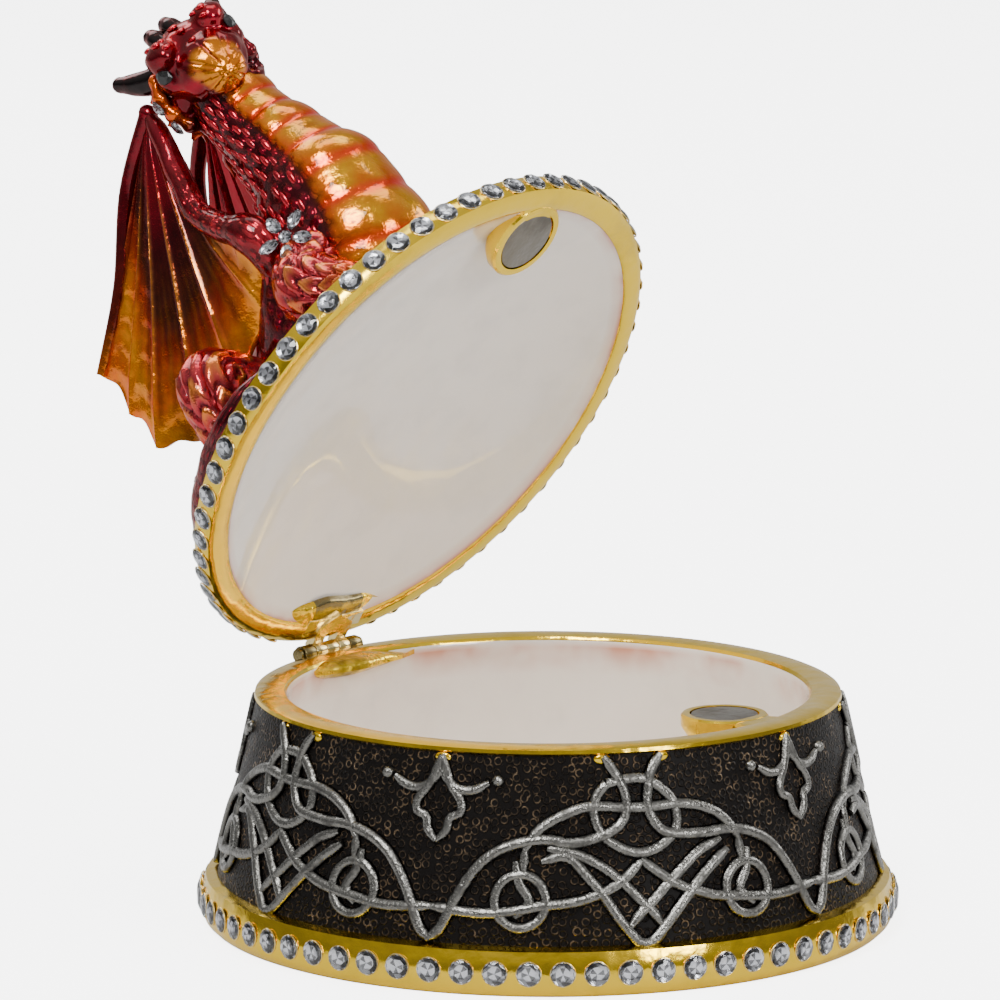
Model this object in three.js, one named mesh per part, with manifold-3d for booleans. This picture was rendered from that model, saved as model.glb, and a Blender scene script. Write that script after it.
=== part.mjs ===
// A round jewelry box of cast metal with a dragon on its hinged lid, shown with the lid open.
// Millimetres, +Z up. The origin is the centre of the underside. The hinge is at the back, along X,
// and the box opens to the front, which is -Y.
import * as THREE from "three";
import { mergeVertices } from "three/addons/utils/BufferGeometryUtils.js";
import Module from "manifold-3d";

const wasm = await Module();
wasm.setup();

// Box base
const FOOT_RADIUS = 40;
const FOOT_BAND_HEIGHT = 5.4;
const FOOT_BAND_BULGE = 0.45;
const WALL_LOW_RADIUS = 38.2;
const WALL_TOP_RADIUS = 33.55;
const BASE_HEIGHT = 26.7;
const RIM_BAND_HEIGHT = 0.87;
const RIM_OUTER_RADIUS = 33.25;
const RIM_WIDTH = 2.97;
const FLOOR_THICKNESS = 2.6;
const WALL_THICKNESS = 2.9;
const FLOOR_FILLET = 2.2;
const FLOOR_COVE = 1.2;
const ROUND_SIDES = 40;
const CAST_FINENESS = 0.02;

// Lid
const LID_FACE_RADIUS = 32.77;
const LID_BAND_HEIGHT = 3.1;
const LID_BAND_BULGE = 0.35;
const LID_FACE_WIDTH = 2.9;
const LID_HOLLOW_DEPTH = 5.2;
const LID_HOLLOW_EDGE = 1.2;
const LID_SHELL = 1.9;
const LID_GAP = 0.73;
const LID_SHIFT = 0.98;
const OPEN_ANGLE = THREE.MathUtils.degToRad(59.28);

// Hinge
const HINGE_OUT = 1.01;
const HINGE_DROP = 0.13;
const KNUCKLE_RADIUS = 1.05;
const KNUCKLE_LENGTH = 1.8;
const KNUCKLE_GAP = 0.15;
const KNUCKLE_COUNT = 5;
const PIN_RADIUS = 0.42;
const PIN_CLEARANCE = 0.14;
const PIN_HEAD = 0.45;
const LEAF_THICKNESS = 0.7;
const LEAF_CLEARANCE = 0.3;
const LEAF_REACH = 2;
const LEAF_ROOT = 1.4;
const TINE_LAP = 0.2;
const PAD_HALF_WIDTH = 8.5;
const PAD_DEPTH = 1.9;
const PAD_THICKNESS = 2.4;
const PAD_INSET = 1.2;

// Magnets
const MAGNET_RADIUS = 3.86;
const MAGNET_THICKNESS = 1.6;
const MAGNET_CLEARANCE = 0.1;
const MAGNET_FROM_CENTRE = 24.6;
const MAGNET_SIDE = 2.2;
const BOSS_WALL = 0.9;
const BOSS_FLOOR = 0.8;
const NECK_WIDTH = 7.4;

// Knotwork
const STRAND_WIDTH = 1.5;
const STRAND_HEIGHT = 0.85;
const STRAND_SINK = 0.5;
const KNOT_REPEATS = 5;
const KNOT_START = THREE.MathUtils.degToRad(-123.2);

// Dragon, whose pose and carving are shares of its height
const DRAGON_HEIGHT = 54;
const DRAGON_SCALE = DRAGON_HEIGHT / 54;
const FIGURE_GAP = 0.3;
const STONE_GAP = 0.12;
const SCUTE_COUNT = 8;
const SCUTE_LENGTH = 1.9;
const SPINE_COUNT = 9;
const TAIL_SPINE_COUNT = 6;
const CRYSTAL_RADIUS = 1.15;
const EYE_RADIUS = 1.15;
const SETTING_WALL = 0.35;
const SETTING_LIP = 0.3;
const SETTING_DEPTH = 3.2;
const FLOWER_PETALS = 5;
const FLOWER_GAP = 0.02;

// The hinge line lies just outside the top of the wall and just under the rim.
const hingeBack = WALL_TOP_RADIUS + HINGE_OUT;
const hingeHeight = BASE_HEIGHT - HINGE_DROP;

const MATERIALS = {
  wall: { color: 0x2a2420, roughness: 0.45, metalness: 0.7 },
  gold: { color: 0xe8bf4a, roughness: 0.2, metalness: 1 },
  brass: { color: 0xcaa24e, roughness: 0.3, metalness: 1 },
  steel: { color: 0x8d8a82, roughness: 0.35, metalness: 1 },
  redEnamel: { color: 0x8d1a26, roughness: 0.15, metalness: 0.4 },
  crystal: { color: 0xe9edf2, roughness: 0.05, metalness: 0 },
  blackStone: { color: 0x0c0d0c, roughness: 0.1, metalness: 0 },
};

// Turns a closed geometry into a solid, and a solid back into a geometry.
function solidOf(geometry) {
  const bare = geometry.clone();
  bare.deleteAttribute("normal");
  bare.deleteAttribute("uv");
  const merged = mergeVertices(bare, 1e-5);
  const mesh = new wasm.Mesh({
    numProp: 3,
    vertProperties: new Float32Array(merged.attributes.position.array),
    triVerts: new Uint32Array(merged.index.array),
  });
  return new wasm.Manifold(mesh);
}

function geometryOf(solid) {
  const mesh = solid.getMesh();
  const geometry = new THREE.BufferGeometry();
  geometry.setAttribute("position", new THREE.BufferAttribute(mesh.vertProperties, 3));
  geometry.setIndex(new THREE.BufferAttribute(mesh.triVerts, 1));
  geometry.computeVertexNormals();
  return geometry;
}

function joined(solids) {
  return solids.reduce((all, one) => all.add(one));
}

// A solid from corners and triangles, turned inside out where the triangles face inwards.
function closedSolid(corners, index) {
  const geometry = new THREE.BufferGeometry().setFromPoints(corners);
  geometry.setIndex(index);
  const solid = solidOf(geometry);
  if (solid.volume() > 0) return solid;
  const flipped = [];
  for (let i = 0; i < index.length; i += 3) flipped.push(index[i], index[i + 2], index[i + 1]);
  geometry.setIndex(flipped);
  return solidOf(geometry);
}

// A casting is solid metal: the pockets that joined shapes shut in are filled, and the slivers
// where shapes meet are smoothed away.
function cast(solid) {
  const whole = solid.simplify(CAST_FINENESS).decompose();
  return whole.reduce((best, one) => (one.volume() > best.volume() ? one : best));
}

// A profile of [radius, height] pairs, closed on itself or on the axis, turned round Z.
function turned(profile, sides) {
  const points = profile.map(([r, z]) => new THREE.Vector2(r, z));
  const lathe = new THREE.LatheGeometry(points, sides);
  return solidOf(lathe.rotateX(Math.PI / 2));
}

function disc(radius, low, high, sides) {
  const cylinder = new THREE.CylinderGeometry(radius, radius, high - low, sides);
  return solidOf(cylinder.rotateX(Math.PI / 2).translate(0, 0, (low + high) / 2));
}

function block(width, depth, height, x, y, z) {
  return solidOf(new THREE.BoxGeometry(width, depth, height).translate(x, y, z));
}

// A cylinder along X with its middle at (x, y, z).
function barrel(radius, length, x, y, z, sides = 14) {
  const cylinder = new THREE.CylinderGeometry(radius, radius, length, sides);
  return solidOf(cylinder.rotateZ(Math.PI / 2).translate(x, y, z));
}

// A closed tube along a curve. widths, depths and the sideways vector give its oval section.
function tube(points, widths, depths, sides, rings, side = null) {
  const curve = new THREE.CatmullRomCurve3(points, false, "centripetal");
  const share = (list, t) => {
    const at = t * (list.length - 1);
    const i = Math.min(Math.floor(at), list.length - 2);
    return THREE.MathUtils.lerp(list[i], list[i + 1], THREE.MathUtils.smoothstep(at - i, 0, 1));
  };
  const vertices = [];
  const centres = [];
  for (let i = 0; i <= rings; i++) {
    const t = i / rings;
    const centre = curve.getPoint(t);
    const along = curve.getTangent(t);
    const across = side ? side.clone() : new THREE.Vector3(1, 0, 0);
    across.addScaledVector(along, -across.dot(along)).normalize();
    const up = new THREE.Vector3().crossVectors(along, across);
    centres.push(centre);
    for (let j = 0; j < sides; j++) {
      const turn = (2 * Math.PI * j) / sides;
      vertices.push(
        centre
          .clone()
          .addScaledVector(across, share(widths, t) * Math.cos(turn))
          .addScaledVector(up, share(depths, t) * Math.sin(turn)),
      );
    }
  }
  const first = vertices.push(centres[0]) - 1;
  const last = vertices.push(centres[rings]) - 1;
  const index = [];
  for (let j = 0; j < sides; j++) {
    const next = (j + 1) % sides;
    index.push(first, next, j);
    index.push(last, rings * sides + j, rings * sides + next);
    for (let i = 0; i < rings; i++) {
      const a = i * sides + j;
      const b = i * sides + next;
      index.push(a, b, b + sides);
      index.push(a, b + sides, a + sides);
    }
  }
  return closedSolid(vertices, index);
}

// A part of the figure: its thickness follows the figure's height.
function limb(points, widths, depths, sides, rings, side = null) {
  const grown = (list) => list.map((size) => size * DRAGON_SCALE);
  return tube(points, grown(widths), grown(depths), sides, rings, side);
}

function cone(from, to, radius, sides = 6) {
  const axis = new THREE.Vector3().subVectors(to, from);
  const geometry = new THREE.ConeGeometry(radius * DRAGON_SCALE, axis.length(), sides);
  geometry.translate(0, axis.length() / 2, 0);
  const turn = new THREE.Quaternion().setFromUnitVectors(
    new THREE.Vector3(0, 1, 0),
    axis.clone().normalize(),
  );
  return solidOf(geometry.applyQuaternion(turn).translate(from.x, from.y, from.z));
}

// Knotwork: the wall is a cone, so a strand's points are an angle from the motif's axis and a height.
const wallRadius = (z) =>
  THREE.MathUtils.mapLinear(
    z,
    FOOT_BAND_HEIGHT,
    BASE_HEIGHT - RIM_BAND_HEIGHT,
    WALL_LOW_RADIUS,
    WALL_TOP_RADIUS,
  );

function onWall(degrees, z, out) {
  const turn = THREE.MathUtils.degToRad(degrees);
  const r = wallRadius(z) + out;
  return new THREE.Vector3(r * Math.cos(turn), r * Math.sin(turn), z);
}

// One strand is a ridge with its foot in the wall and a crest along its middle.
function strand(points, spans, width = STRAND_WIDTH) {
  const curve = new THREE.CatmullRomCurve3(
    points.map(([a, z]) => new THREE.Vector3(a, z, 0)),
    false,
    "centripetal",
  );
  const degreesPerMm = THREE.MathUtils.radToDeg(1 / wallRadius(BASE_HEIGHT / 2));
  const corners = [];
  for (let i = 0; i <= spans; i++) {
    const p = curve.getPoint(i / spans);
    const along = curve.getTangent(i / spans);
    along.x /= degreesPerMm;
    along.normalize();
    const across = (side, out) =>
      onWall(p.x - side * along.y * degreesPerMm, p.y + side * along.x, out);
    corners.push(across(-width / 2, -STRAND_SINK));
    corners.push(across(width / 2, -STRAND_SINK));
    corners.push(across(0, STRAND_HEIGHT));
  }
  const end = spans * 3;
  const index = [0, 2, 1, end, end + 1, end + 2];
  for (let i = 0; i < end; i += 3) {
    for (let j = 0; j < 3; j++) {
      const k = (j + 1) % 3;
      index.push(i + j, i + k, i + k + 3);
      index.push(i + j, i + k + 3, i + j + 3);
    }
  }
  return closedSolid(corners, index);
}

// Half of one motif, as [strand, spans]. The other half is its mirror image.
const HALF_MOTIF = [
  [[[-5.6, 25.9], [-2.2, 22], [-2.4, 18.8], [-7.7, 17], [-15.7, 16.8], [-22.8, 16.3], [-29.3, 13],
    [-32.5, 8.6], [-36, 5.9]], 6],
  [[[0.9, 20], [-5.6, 20.3], [-13, 19.6], [-19.5, 16]], 1],
  [[[1.5, 23.2], [-5, 22.6], [-7.7, 19.8], [-5.6, 16.7], [0, 15.2]], 3],
  [[[-14, 15.4], [-5.7, 13.6], [0, 10.2], [3.8, 7]], 2],
  [[[-16.5, 15.6], [-8.9, 12.8], [-3.8, 8.3], [0, 5.6]], 2],
  [[[1, 14.7], [-4.5, 11.9], [-10, 10.5], [-17, 9.6], [-24, 9.1], [-36.4, 9.1]], 3],
];
const RING_CENTRE = [-20.6, 10.3];
const RING_RADII = [4.4, 2.9];
const PENDANT_AXIS = 36;
const HALF_PENDANT = [
  [[[0.3, 25.9], [-1.3, 22.9], [-4.1, 20], [-1.6, 17.8], [0.3, 16.3]], 3],
  [[[-0.6, 23.9], [-3.5, 22.4], [-9.4, 23]], 1],
];

function ringPoints([angle, z], [wide, high], sides) {
  const points = [];
  for (let i = 0; i <= sides; i++) {
    const turn = (2 * Math.PI * i) / sides;
    points.push([angle + wide * Math.cos(turn), z + high * Math.sin(turn)]);
  }
  return points;
}

function knotwork() {
  const pieces = [];
  for (const mirror of [-1, 1]) {
    const both = (points) => points.map(([a, z]) => [mirror * a, z]);
    for (const [points, spans] of HALF_MOTIF) pieces.push(strand(both(points), spans));
    const ring = ringPoints(RING_CENTRE, RING_RADII, 6);
    pieces.push(strand(both(ring.slice(0, 4)), 3));
    pieces.push(strand(both(ring.slice(3)), 3));
    for (const [points, spans] of HALF_PENDANT) {
      pieces.push(strand(both(points).map(([a, z]) => [a + PENDANT_AXIS, z]), spans));
    }
  }
  const motif = joined(pieces);
  const turnOf = (i) => THREE.MathUtils.radToDeg(KNOT_START) + (360 * i) / KNOT_REPEATS;
  const all = [];
  for (let i = 0; i < KNOT_REPEATS; i++) all.push(motif.rotate([0, 0, turnOf(i)]));
  return joined(all);
}

// The magnet of the base and that of the lid face each other.
const magnetY = -Math.sqrt(MAGNET_FROM_CENTRE ** 2 - MAGNET_SIDE ** 2);

function magnetSeat(y, face, below) {
  const outer = MAGNET_RADIUS + MAGNET_CLEARANCE + BOSS_WALL;
  const depth = MAGNET_THICKNESS + MAGNET_CLEARANCE + BOSS_FLOOR;
  const boss = disc(outer, below ? face - depth : face, below ? face : face + depth, 24);
  const reach = RIM_OUTER_RADIUS - RIM_WIDTH / 2 + y;
  const middle = face + (below ? -depth / 2 : depth / 2);
  const neck = block(NECK_WIDTH, reach, depth, 0, -reach / 2, middle);
  return boss.add(neck).translate([MAGNET_SIDE, y, 0]);
}

function magnetHole(y, face, below) {
  const radius = MAGNET_RADIUS + MAGNET_CLEARANCE;
  const depth = MAGNET_THICKNESS + MAGNET_CLEARANCE;
  const hole = disc(radius, below ? face - depth : face - 1, below ? face + 1 : face + depth, 24);
  return hole.translate([MAGNET_SIDE, y, 0]);
}

const hingeLength = KNUCKLE_COUNT * KNUCKLE_LENGTH + (KNUCKLE_COUNT - 1) * KNUCKLE_GAP;

// Room for the knuckles and the leaves in the two castings.
function hingeRoom(backward, upward) {
  const length = hingeLength + 2 * LEAF_CLEARANCE + 2 * PIN_HEAD;
  return barrel(KNUCKLE_RADIUS + LEAF_CLEARANCE, length, 0, backward, upward, 18);
}

function makeBase() {
  const inner = RIM_OUTER_RADIUS - RIM_WIDTH;
  const floorRadius = wallRadius(FLOOR_THICKNESS) - WALL_THICKNESS - FLOOR_COVE;
  const profile = [
    [0, 0],
    [FOOT_RADIUS, 0],
    [FOOT_RADIUS + FOOT_BAND_BULGE, FOOT_BAND_HEIGHT * 0.35],
    [FOOT_RADIUS + FOOT_BAND_BULGE * 0.6, FOOT_BAND_HEIGHT * 0.6],
    [FOOT_RADIUS - 0.7, FOOT_BAND_HEIGHT * 0.93],
    [WALL_LOW_RADIUS, FOOT_BAND_HEIGHT],
    [WALL_TOP_RADIUS, BASE_HEIGHT - RIM_BAND_HEIGHT],
    [RIM_OUTER_RADIUS + 0.3, BASE_HEIGHT - RIM_BAND_HEIGHT + 0.01],
    [RIM_OUTER_RADIUS, BASE_HEIGHT],
    [inner, BASE_HEIGHT],
    [inner - 0.1, BASE_HEIGHT - 1],
    [floorRadius, FLOOR_THICKNESS + FLOOR_FILLET],
    [floorRadius - FLOOR_FILLET, FLOOR_THICKNESS],
    [0, FLOOR_THICKNESS],
  ];
  const pad = block(
    2 * PAD_HALF_WIDTH,
    RIM_WIDTH + PAD_DEPTH,
    PAD_THICKNESS,
    0,
    inner - PAD_DEPTH + (RIM_WIDTH + PAD_DEPTH) / 2 - PAD_INSET,
    BASE_HEIGHT - PAD_THICKNESS / 2,
  );
  const casting = turned(profile, ROUND_SIDES)
    .add(pad)
    .add(magnetSeat(magnetY, BASE_HEIGHT, true))
    .add(knotwork())
    .subtract(magnetHole(magnetY, BASE_HEIGHT, true))
    .subtract(hingeRoom(hingeBack, hingeHeight))
    .subtract(leafSlot(hingeBack, basePlateZ));
  return cast(casting);
}

// Lid frame: origin at the centre of its flat face, Z out of its top, Y to the hinge.
const lidHingeY = hingeBack - LID_SHIFT;
const lidHingeZ = hingeHeight - BASE_HEIGHT - LID_GAP;

const domeTop = LID_HOLLOW_DEPTH + LID_SHELL;

// The lid's upper surface, grown outwards by a gap where a figure rests on it.
function lidOutside(gap) {
  const bulge = LID_FACE_RADIUS + LID_BAND_BULGE + gap;
  const rise = domeTop - LID_BAND_HEIGHT;
  const profile = [[0, -gap], [LID_FACE_RADIUS + gap, -gap], [bulge, LID_BAND_HEIGHT * 0.5]];
  profile.push([LID_FACE_RADIUS + gap, LID_BAND_HEIGHT + gap]);
  for (const share of [0.9, 0.7, 0.4]) {
    profile.push([LID_FACE_RADIUS * share, LID_BAND_HEIGHT + gap + rise * (1 - share ** 2)]);
  }
  profile.push([0, domeTop + gap]);
  return turned(profile, ROUND_SIDES);
}

function makeLid() {
  const inner = LID_FACE_RADIUS - LID_FACE_WIDTH;
  const hollow = [[0, -1], [inner, -1], [inner, 0.5]];
  for (const share of [0.93, 0.7, 0.4]) {
    const deep = (LID_HOLLOW_DEPTH - LID_HOLLOW_EDGE) * (1 - share ** 2.6);
    hollow.push([inner * share, LID_HOLLOW_EDGE + deep]);
  }
  hollow.push([0, LID_HOLLOW_DEPTH]);
  const pad = block(
    2 * PAD_HALF_WIDTH,
    LID_FACE_WIDTH + PAD_DEPTH,
    PAD_THICKNESS,
    0,
    inner - PAD_DEPTH + (LID_FACE_WIDTH + PAD_DEPTH) / 2 - PAD_INSET,
    PAD_THICKNESS / 2,
  );
  const magnetLine = magnetY - LID_SHIFT;
  return lidOutside(0)
    .subtract(turned(hollow, ROUND_SIDES))
    .add(pad)
    .add(magnetSeat(magnetLine, 0, false))
    .subtract(magnetHole(magnetLine, 0, false))
    .subtract(hingeRoom(lidHingeY, lidHingeZ))
    .subtract(leafSlot(lidHingeY, lidPlateZ));
}

// Hinge: knuckles 1, 3 and 5 are the base's, 2 and 4 the lid's.
const knuckleX = (i) => (i - (KNUCKLE_COUNT - 1) / 2) * (KNUCKLE_LENGTH + KNUCKLE_GAP);

function knuckles(first, y, z, plate) {
  const shapes = [];
  for (let i = first; i < KNUCKLE_COUNT; i += 2) {
    shapes.push(barrel(KNUCKLE_RADIUS, KNUCKLE_LENGTH, knuckleX(i), y, z));
    const arm = KNUCKLE_RADIUS + LEAF_ROOT + TINE_LAP;
    const flat = block(KNUCKLE_LENGTH, arm, LEAF_THICKNESS, knuckleX(i), y - arm / 2, plate);
    shapes.push(flat);
  }
  const bore = barrel(PIN_RADIUS + PIN_CLEARANCE, hingeLength + 2, 0, y, z, 12);
  return joined(shapes).subtract(bore);
}

const basePlateZ = hingeHeight - KNUCKLE_RADIUS + LEAF_THICKNESS / 2;
const lidPlateZ = lidHingeZ + KNUCKLE_RADIUS + LEAF_THICKNESS / 2 - 0.25;
const leafPlateStart = KNUCKLE_RADIUS + LEAF_ROOT;

function leafPlate(y, z) {
  return block(hingeLength, LEAF_REACH, LEAF_THICKNESS, 0, y - leafPlateStart - LEAF_REACH / 2, z);
}

function leafSlot(y, z) {
  const length = leafPlateStart + LEAF_REACH + LEAF_CLEARANCE;
  return block(
    hingeLength + 2 * LEAF_CLEARANCE,
    length,
    LEAF_THICKNESS + 2 * LEAF_CLEARANCE,
    0,
    y - length / 2,
    z,
  );
}

function makeLeafBase() {
  const plate = leafPlate(hingeBack, basePlateZ);
  return knuckles(0, hingeBack, hingeHeight, basePlateZ).add(plate);
}

function makeLeafLid() {
  const plate = leafPlate(lidHingeY, lidPlateZ);
  return knuckles(1, lidHingeY, lidHingeZ, lidPlateZ).add(plate);
}

function makePin() {
  const length = hingeLength + 2 * PIN_HEAD + 0.2;
  return barrel(PIN_RADIUS, length, 0, hingeBack, hingeHeight, 12);
}

function makeMagnet(y, face, below) {
  const from = below ? face - MAGNET_THICKNESS : face;
  const magnet = disc(MAGNET_RADIUS, from, from + MAGNET_THICKNESS, 24);
  return magnet.translate([MAGNET_SIDE, y, 0]);
}

// Dragon. A point is (side, front, up) in the lid's frame; the figure faces the box's front.
const at = (side, front, up) =>
  new THREE.Vector3(side, -front, up).multiplyScalar(DRAGON_SCALE);

const SPINE = [
  at(0, -17, 10), at(0, -9, 14.5), at(0, 1, 17), at(0, 8, 20.5), at(0, 12, 27), at(0, 13.3, 34),
  at(-0.3, 13.6, 41), at(-0.6, 14.5, 47.5),
];
const SPINE_WIDTHS = [5, 9.5, 9.5, 9.3, 7.6, 5.6, 4.7, 4.6];
const SPINE_DEPTHS = [4, 8.5, 10, 12.6, 9.4, 6.2, 4.8, 4.4];
const TAIL_RING = 27.5;

function torso() {
  return limb(SPINE, SPINE_WIDTHS, SPINE_DEPTHS, 10, 11);
}

function tailPoint(turn, height) {
  const a = THREE.MathUtils.degToRad(turn);
  return at(TAIL_RING * Math.cos(a), TAIL_RING * Math.sin(a), height);
}

function tailLine() {
  const line = [at(0, -13, 11), at(7, -20, 9), tailPoint(-62, 7.4)];
  for (let turn = -82; turn >= -182; turn -= 20) line.push(tailPoint(turn, 6));
  line.push(at(-22, 8, 7));
  return line;
}

function tail() {
  const widths = [6, 5.6, 5, 4.4, 4, 3.6, 3.2, 2.7, 2.2, 1.6, 0.5];
  const depths = [6, 5.4, 4.6, 4.2, 3.8, 3.4, 3, 2.6, 2.1, 1.5, 0.5];
  return limb(tailLine(), widths, depths, 6, 13, new THREE.Vector3(0.02, 0.01, 1));
}

function scutes() {
  const curve = new THREE.CatmullRomCurve3(SPINE, false, "centripetal");
  const shapes = [];
  for (let i = 0; i < SCUTE_COUNT; i++) {
    const t = THREE.MathUtils.mapLinear(i, 0, SCUTE_COUNT - 1, 0.36, 0.9);
    const list = SPINE_WIDTHS.length - 1;
    const depth = THREE.MathUtils.lerp(
      SPINE_DEPTHS[Math.floor(t * list)],
      SPINE_DEPTHS[Math.floor(t * list) + 1],
      (t * list) % 1,
    );
    const size = depth * DRAGON_SCALE;
    const centre = curve.getPoint(t);
    const along = curve.getTangent(t);
    const front = new THREE.Vector3(0, -along.z, along.y).normalize();
    centre.addScaledVector(front, size * 0.2);
    const scute = new THREE.CylinderGeometry(size * 0.7, size * 0.86, SCUTE_LENGTH * DRAGON_SCALE, 8);
    const turn = new THREE.Quaternion().setFromUnitVectors(new THREE.Vector3(0, 1, 0), along);
    scute.applyQuaternion(turn).translate(centre.x, centre.y, centre.z);
    shapes.push(solidOf(scute));
  }
  return joined(shapes);
}

// A row of plates stands along a curve, on the side that a vector names.
function crest(points, count, from, to, outward, reach, size) {
  const curve = new THREE.CatmullRomCurve3(points, false, "centripetal");
  const shapes = [];
  for (let i = 0; i < count; i++) {
    const share = i / (count - 1);
    const t = THREE.MathUtils.lerp(from, to, share);
    const centre = curve.getPoint(t);
    const along = curve.getTangent(t);
    const out = outward(along).normalize();
    const far = reach(share) * DRAGON_SCALE;
    const tall = size(share) * DRAGON_SCALE;
    const top = centre.clone().addScaledVector(out, far + tall);
    top.addScaledVector(along, -tall * 0.5);
    shapes.push(cone(centre.addScaledVector(out, far * 0.55), top, size(share) * 0.75, 5));
  }
  return joined(shapes);
}

function leg(mirror, hip, knee, ankle, toe, thick, thin) {
  const place = ([side, front, up]) => at(mirror * side, front, up);
  const line = [hip, knee, ankle, toe].map(place);
  const upper = limb(line, thick, thin, 6, 5, new THREE.Vector3(0.1, 1, 0.2));
  const claws = [-1, 0, 1].map((i) => {
    const from = place([toe[0] + i * 1.2, toe[1] - 0.6, toe[2] + 0.4]);
    const to = place([toe[0] + i * 1.9, toe[1] + 3.2 - Math.abs(i) * 0.5, toe[2] - 0.7]);
    return cone(from, to, 1.1, 5);
  });
  return joined([upper, ...claws]);
}

function legs() {
  const shapes = [];
  for (const mirror of [-1, 1]) {
    const fore = [[7.5, 9, 21], [12, 8.5, 16.5], [12.2, 12, 10.5], [12.5, 15.5, 6.8]];
    shapes.push(leg(mirror, ...fore, [4.6, 4.2, 2.8, 2], [4.4, 3.8, 2.6, 1.7]));
    const hind = [[7, -9, 14], [15.2, -5.2, 18.6], [15.4, -9, 10.5], [15.8, -2, 7.3]];
    shapes.push(leg(mirror, ...hind, [6, 4.6, 3.2, 2.2], [6, 4.6, 3, 1.8]));
  }
  return joined(shapes);
}

// One wing: a fan of folds from the wrist down to a scalloped edge, on a bent arm.
const WRIST = [5, 7.8, 51.8];
const WING_EDGE = [[10, -20.6, 38.5], [10.6, -21, 34], [12, -21, 29.2], [13.2, -20.6, 23.8],
  [12.8, -17.2, 20], [11.5, -10, 18.5], [9, -3, 19], [8, 3, 22]];
const WING_ARM = [[6, 5, 22], [9, 7.8, 27.5], [8.6, 5.7, 32], [8, 4.3, 36.5], [7, 5.3, 42],
  [5.8, 7.2, 48], WRIST];
const WING_THICKNESS = 1.3;
const FOLDS = 6;

function wing(mirror) {
  const place = ([side, front, up]) => at(mirror * side, front, up);
  const edge = new THREE.CatmullRomCurve3(WING_EDGE.map(place), false, "centripetal");
  const arm = new THREE.CatmullRomCurve3(WING_ARM.map(place), false, "centripetal");
  const wrist = place(WRIST);
  const columns = 2 * FOLDS;
  const rows = 3;
  const faces = [1, -1].map((face) => {
    const points = [];
    for (let i = 0; i <= columns; i++) {
      for (let j = 1; j <= rows; j++) {
        const s = i / columns;
        const t = j / rows;
        const low = edge.getPoint(s);
        const scallop = 0.07 * Math.sin(Math.PI * ((s * FOLDS) % 1)) ** 2;
        const p = wrist.clone().lerp(low, t * (1 - scallop));
        const high = arm.getPoint(THREE.MathUtils.lerp(1, 0.12, t));
        p.lerp(high, s ** 5);
        const fold = 0.7 * Math.cos(2 * Math.PI * s * FOLDS) * Math.min(1, 2.5 * t);
        const bow = -0.4 * Math.sin(Math.PI * t) * (1 - s);
        p.x += mirror * DRAGON_SCALE * (fold + bow + (face * WING_THICKNESS) / 2);
        points.push(p);
      }
    }
    return points;
  });
  const vertices = [...faces[0], ...faces[1]];
  const back = faces[0].length;
  const apex = [0, 1].map((k) => {
    const p = wrist.clone();
    p.x += mirror * (k ? -0.5 : 0.5) * WING_THICKNESS * DRAGON_SCALE;
    return vertices.push(p) - 1;
  });
  const index = [];
  const id = (i, j, side) => side * back + i * rows + j;
  for (let side = 0; side < 2; side++) {
    const put = (a, b, c) => (side ? index.push(a, c, b) : index.push(a, b, c));
    for (let i = 0; i < columns; i++) {
      put(apex[side], id(i + 1, 0, side), id(i, 0, side));
      for (let j = 0; j < rows - 1; j++) {
        put(id(i, j, side), id(i + 1, j, side), id(i + 1, j + 1, side));
        put(id(i, j, side), id(i + 1, j + 1, side), id(i, j + 1, side));
      }
    }
  }
  const wall = (a, b) => index.push(a, b, b + back, a, b + back, a + back);
  for (let i = 0; i < columns; i++) wall(id(i, rows - 1, 0), id(i + 1, rows - 1, 0));
  for (let j = 0; j < rows - 1; j++) {
    wall(id(0, j, 0), id(0, j + 1, 0));
    wall(id(columns, j + 1, 0), id(columns, j, 0));
  }
  index.push(apex[0], id(0, 0, 0), id(0, 0, 1), apex[0], id(0, 0, 1), apex[1]);
  index.push(apex[0], id(columns, 0, 1), id(columns, 0, 0), apex[0], apex[1], id(columns, 0, 1));
  const armRadii = [2.4, 2.4, 1.8, 1.6, 1.5, 1.3, 0.8];
  const armSolid = limb(WING_ARM.map(place), armRadii, armRadii, 5, 7);
  const finger = WING_EDGE[0];
  const bowed = [WRIST, [6, -1.4, 49.3], [8, -11.3, 42.8], finger];
  const fingerRadii = [1.1, 1, 0.9, 0.8];
  const fingerSolid = limb(bowed.map(place), fingerRadii, fingerRadii, 5, 5);
  return joined([closedSolid(vertices, index), armSolid, fingerSolid]);
}

// Head frame: ear to ear, forward and up. The figure looks down to its right.
const HEAD_CENTRE = at(-1.7, 15.8, 50.6);
const HEAD_FORWARD = new THREE.Vector3(-0.508, -0.5745, -0.643).normalize();
const HEAD_SIDE = new THREE.Vector3()
  .crossVectors(HEAD_FORWARD, new THREE.Vector3(-0.35, -0.322, 0.88))
  .normalize();
const HEAD_UP = new THREE.Vector3().crossVectors(HEAD_SIDE, HEAD_FORWARD).normalize();
const HEAD_TURN = new THREE.Matrix4().makeBasis(HEAD_SIDE, HEAD_FORWARD, HEAD_UP);

function inHead(side, forward, up) {
  const s = DRAGON_SCALE;
  return new THREE.Vector3(side * s, forward * s, up * s).applyMatrix4(HEAD_TURN).add(HEAD_CENTRE);
}

function headBall(side, forward, up, radii, wide = 10, high = 7) {
  const [a, b, c] = radii.map((r) => r * DRAGON_SCALE);
  const sphere = new THREE.SphereGeometry(1, wide, high).scale(a, b, c).applyMatrix4(HEAD_TURN);
  const p = inHead(side, forward, up);
  return solidOf(sphere.translate(p.x, p.y, p.z));
}

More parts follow.
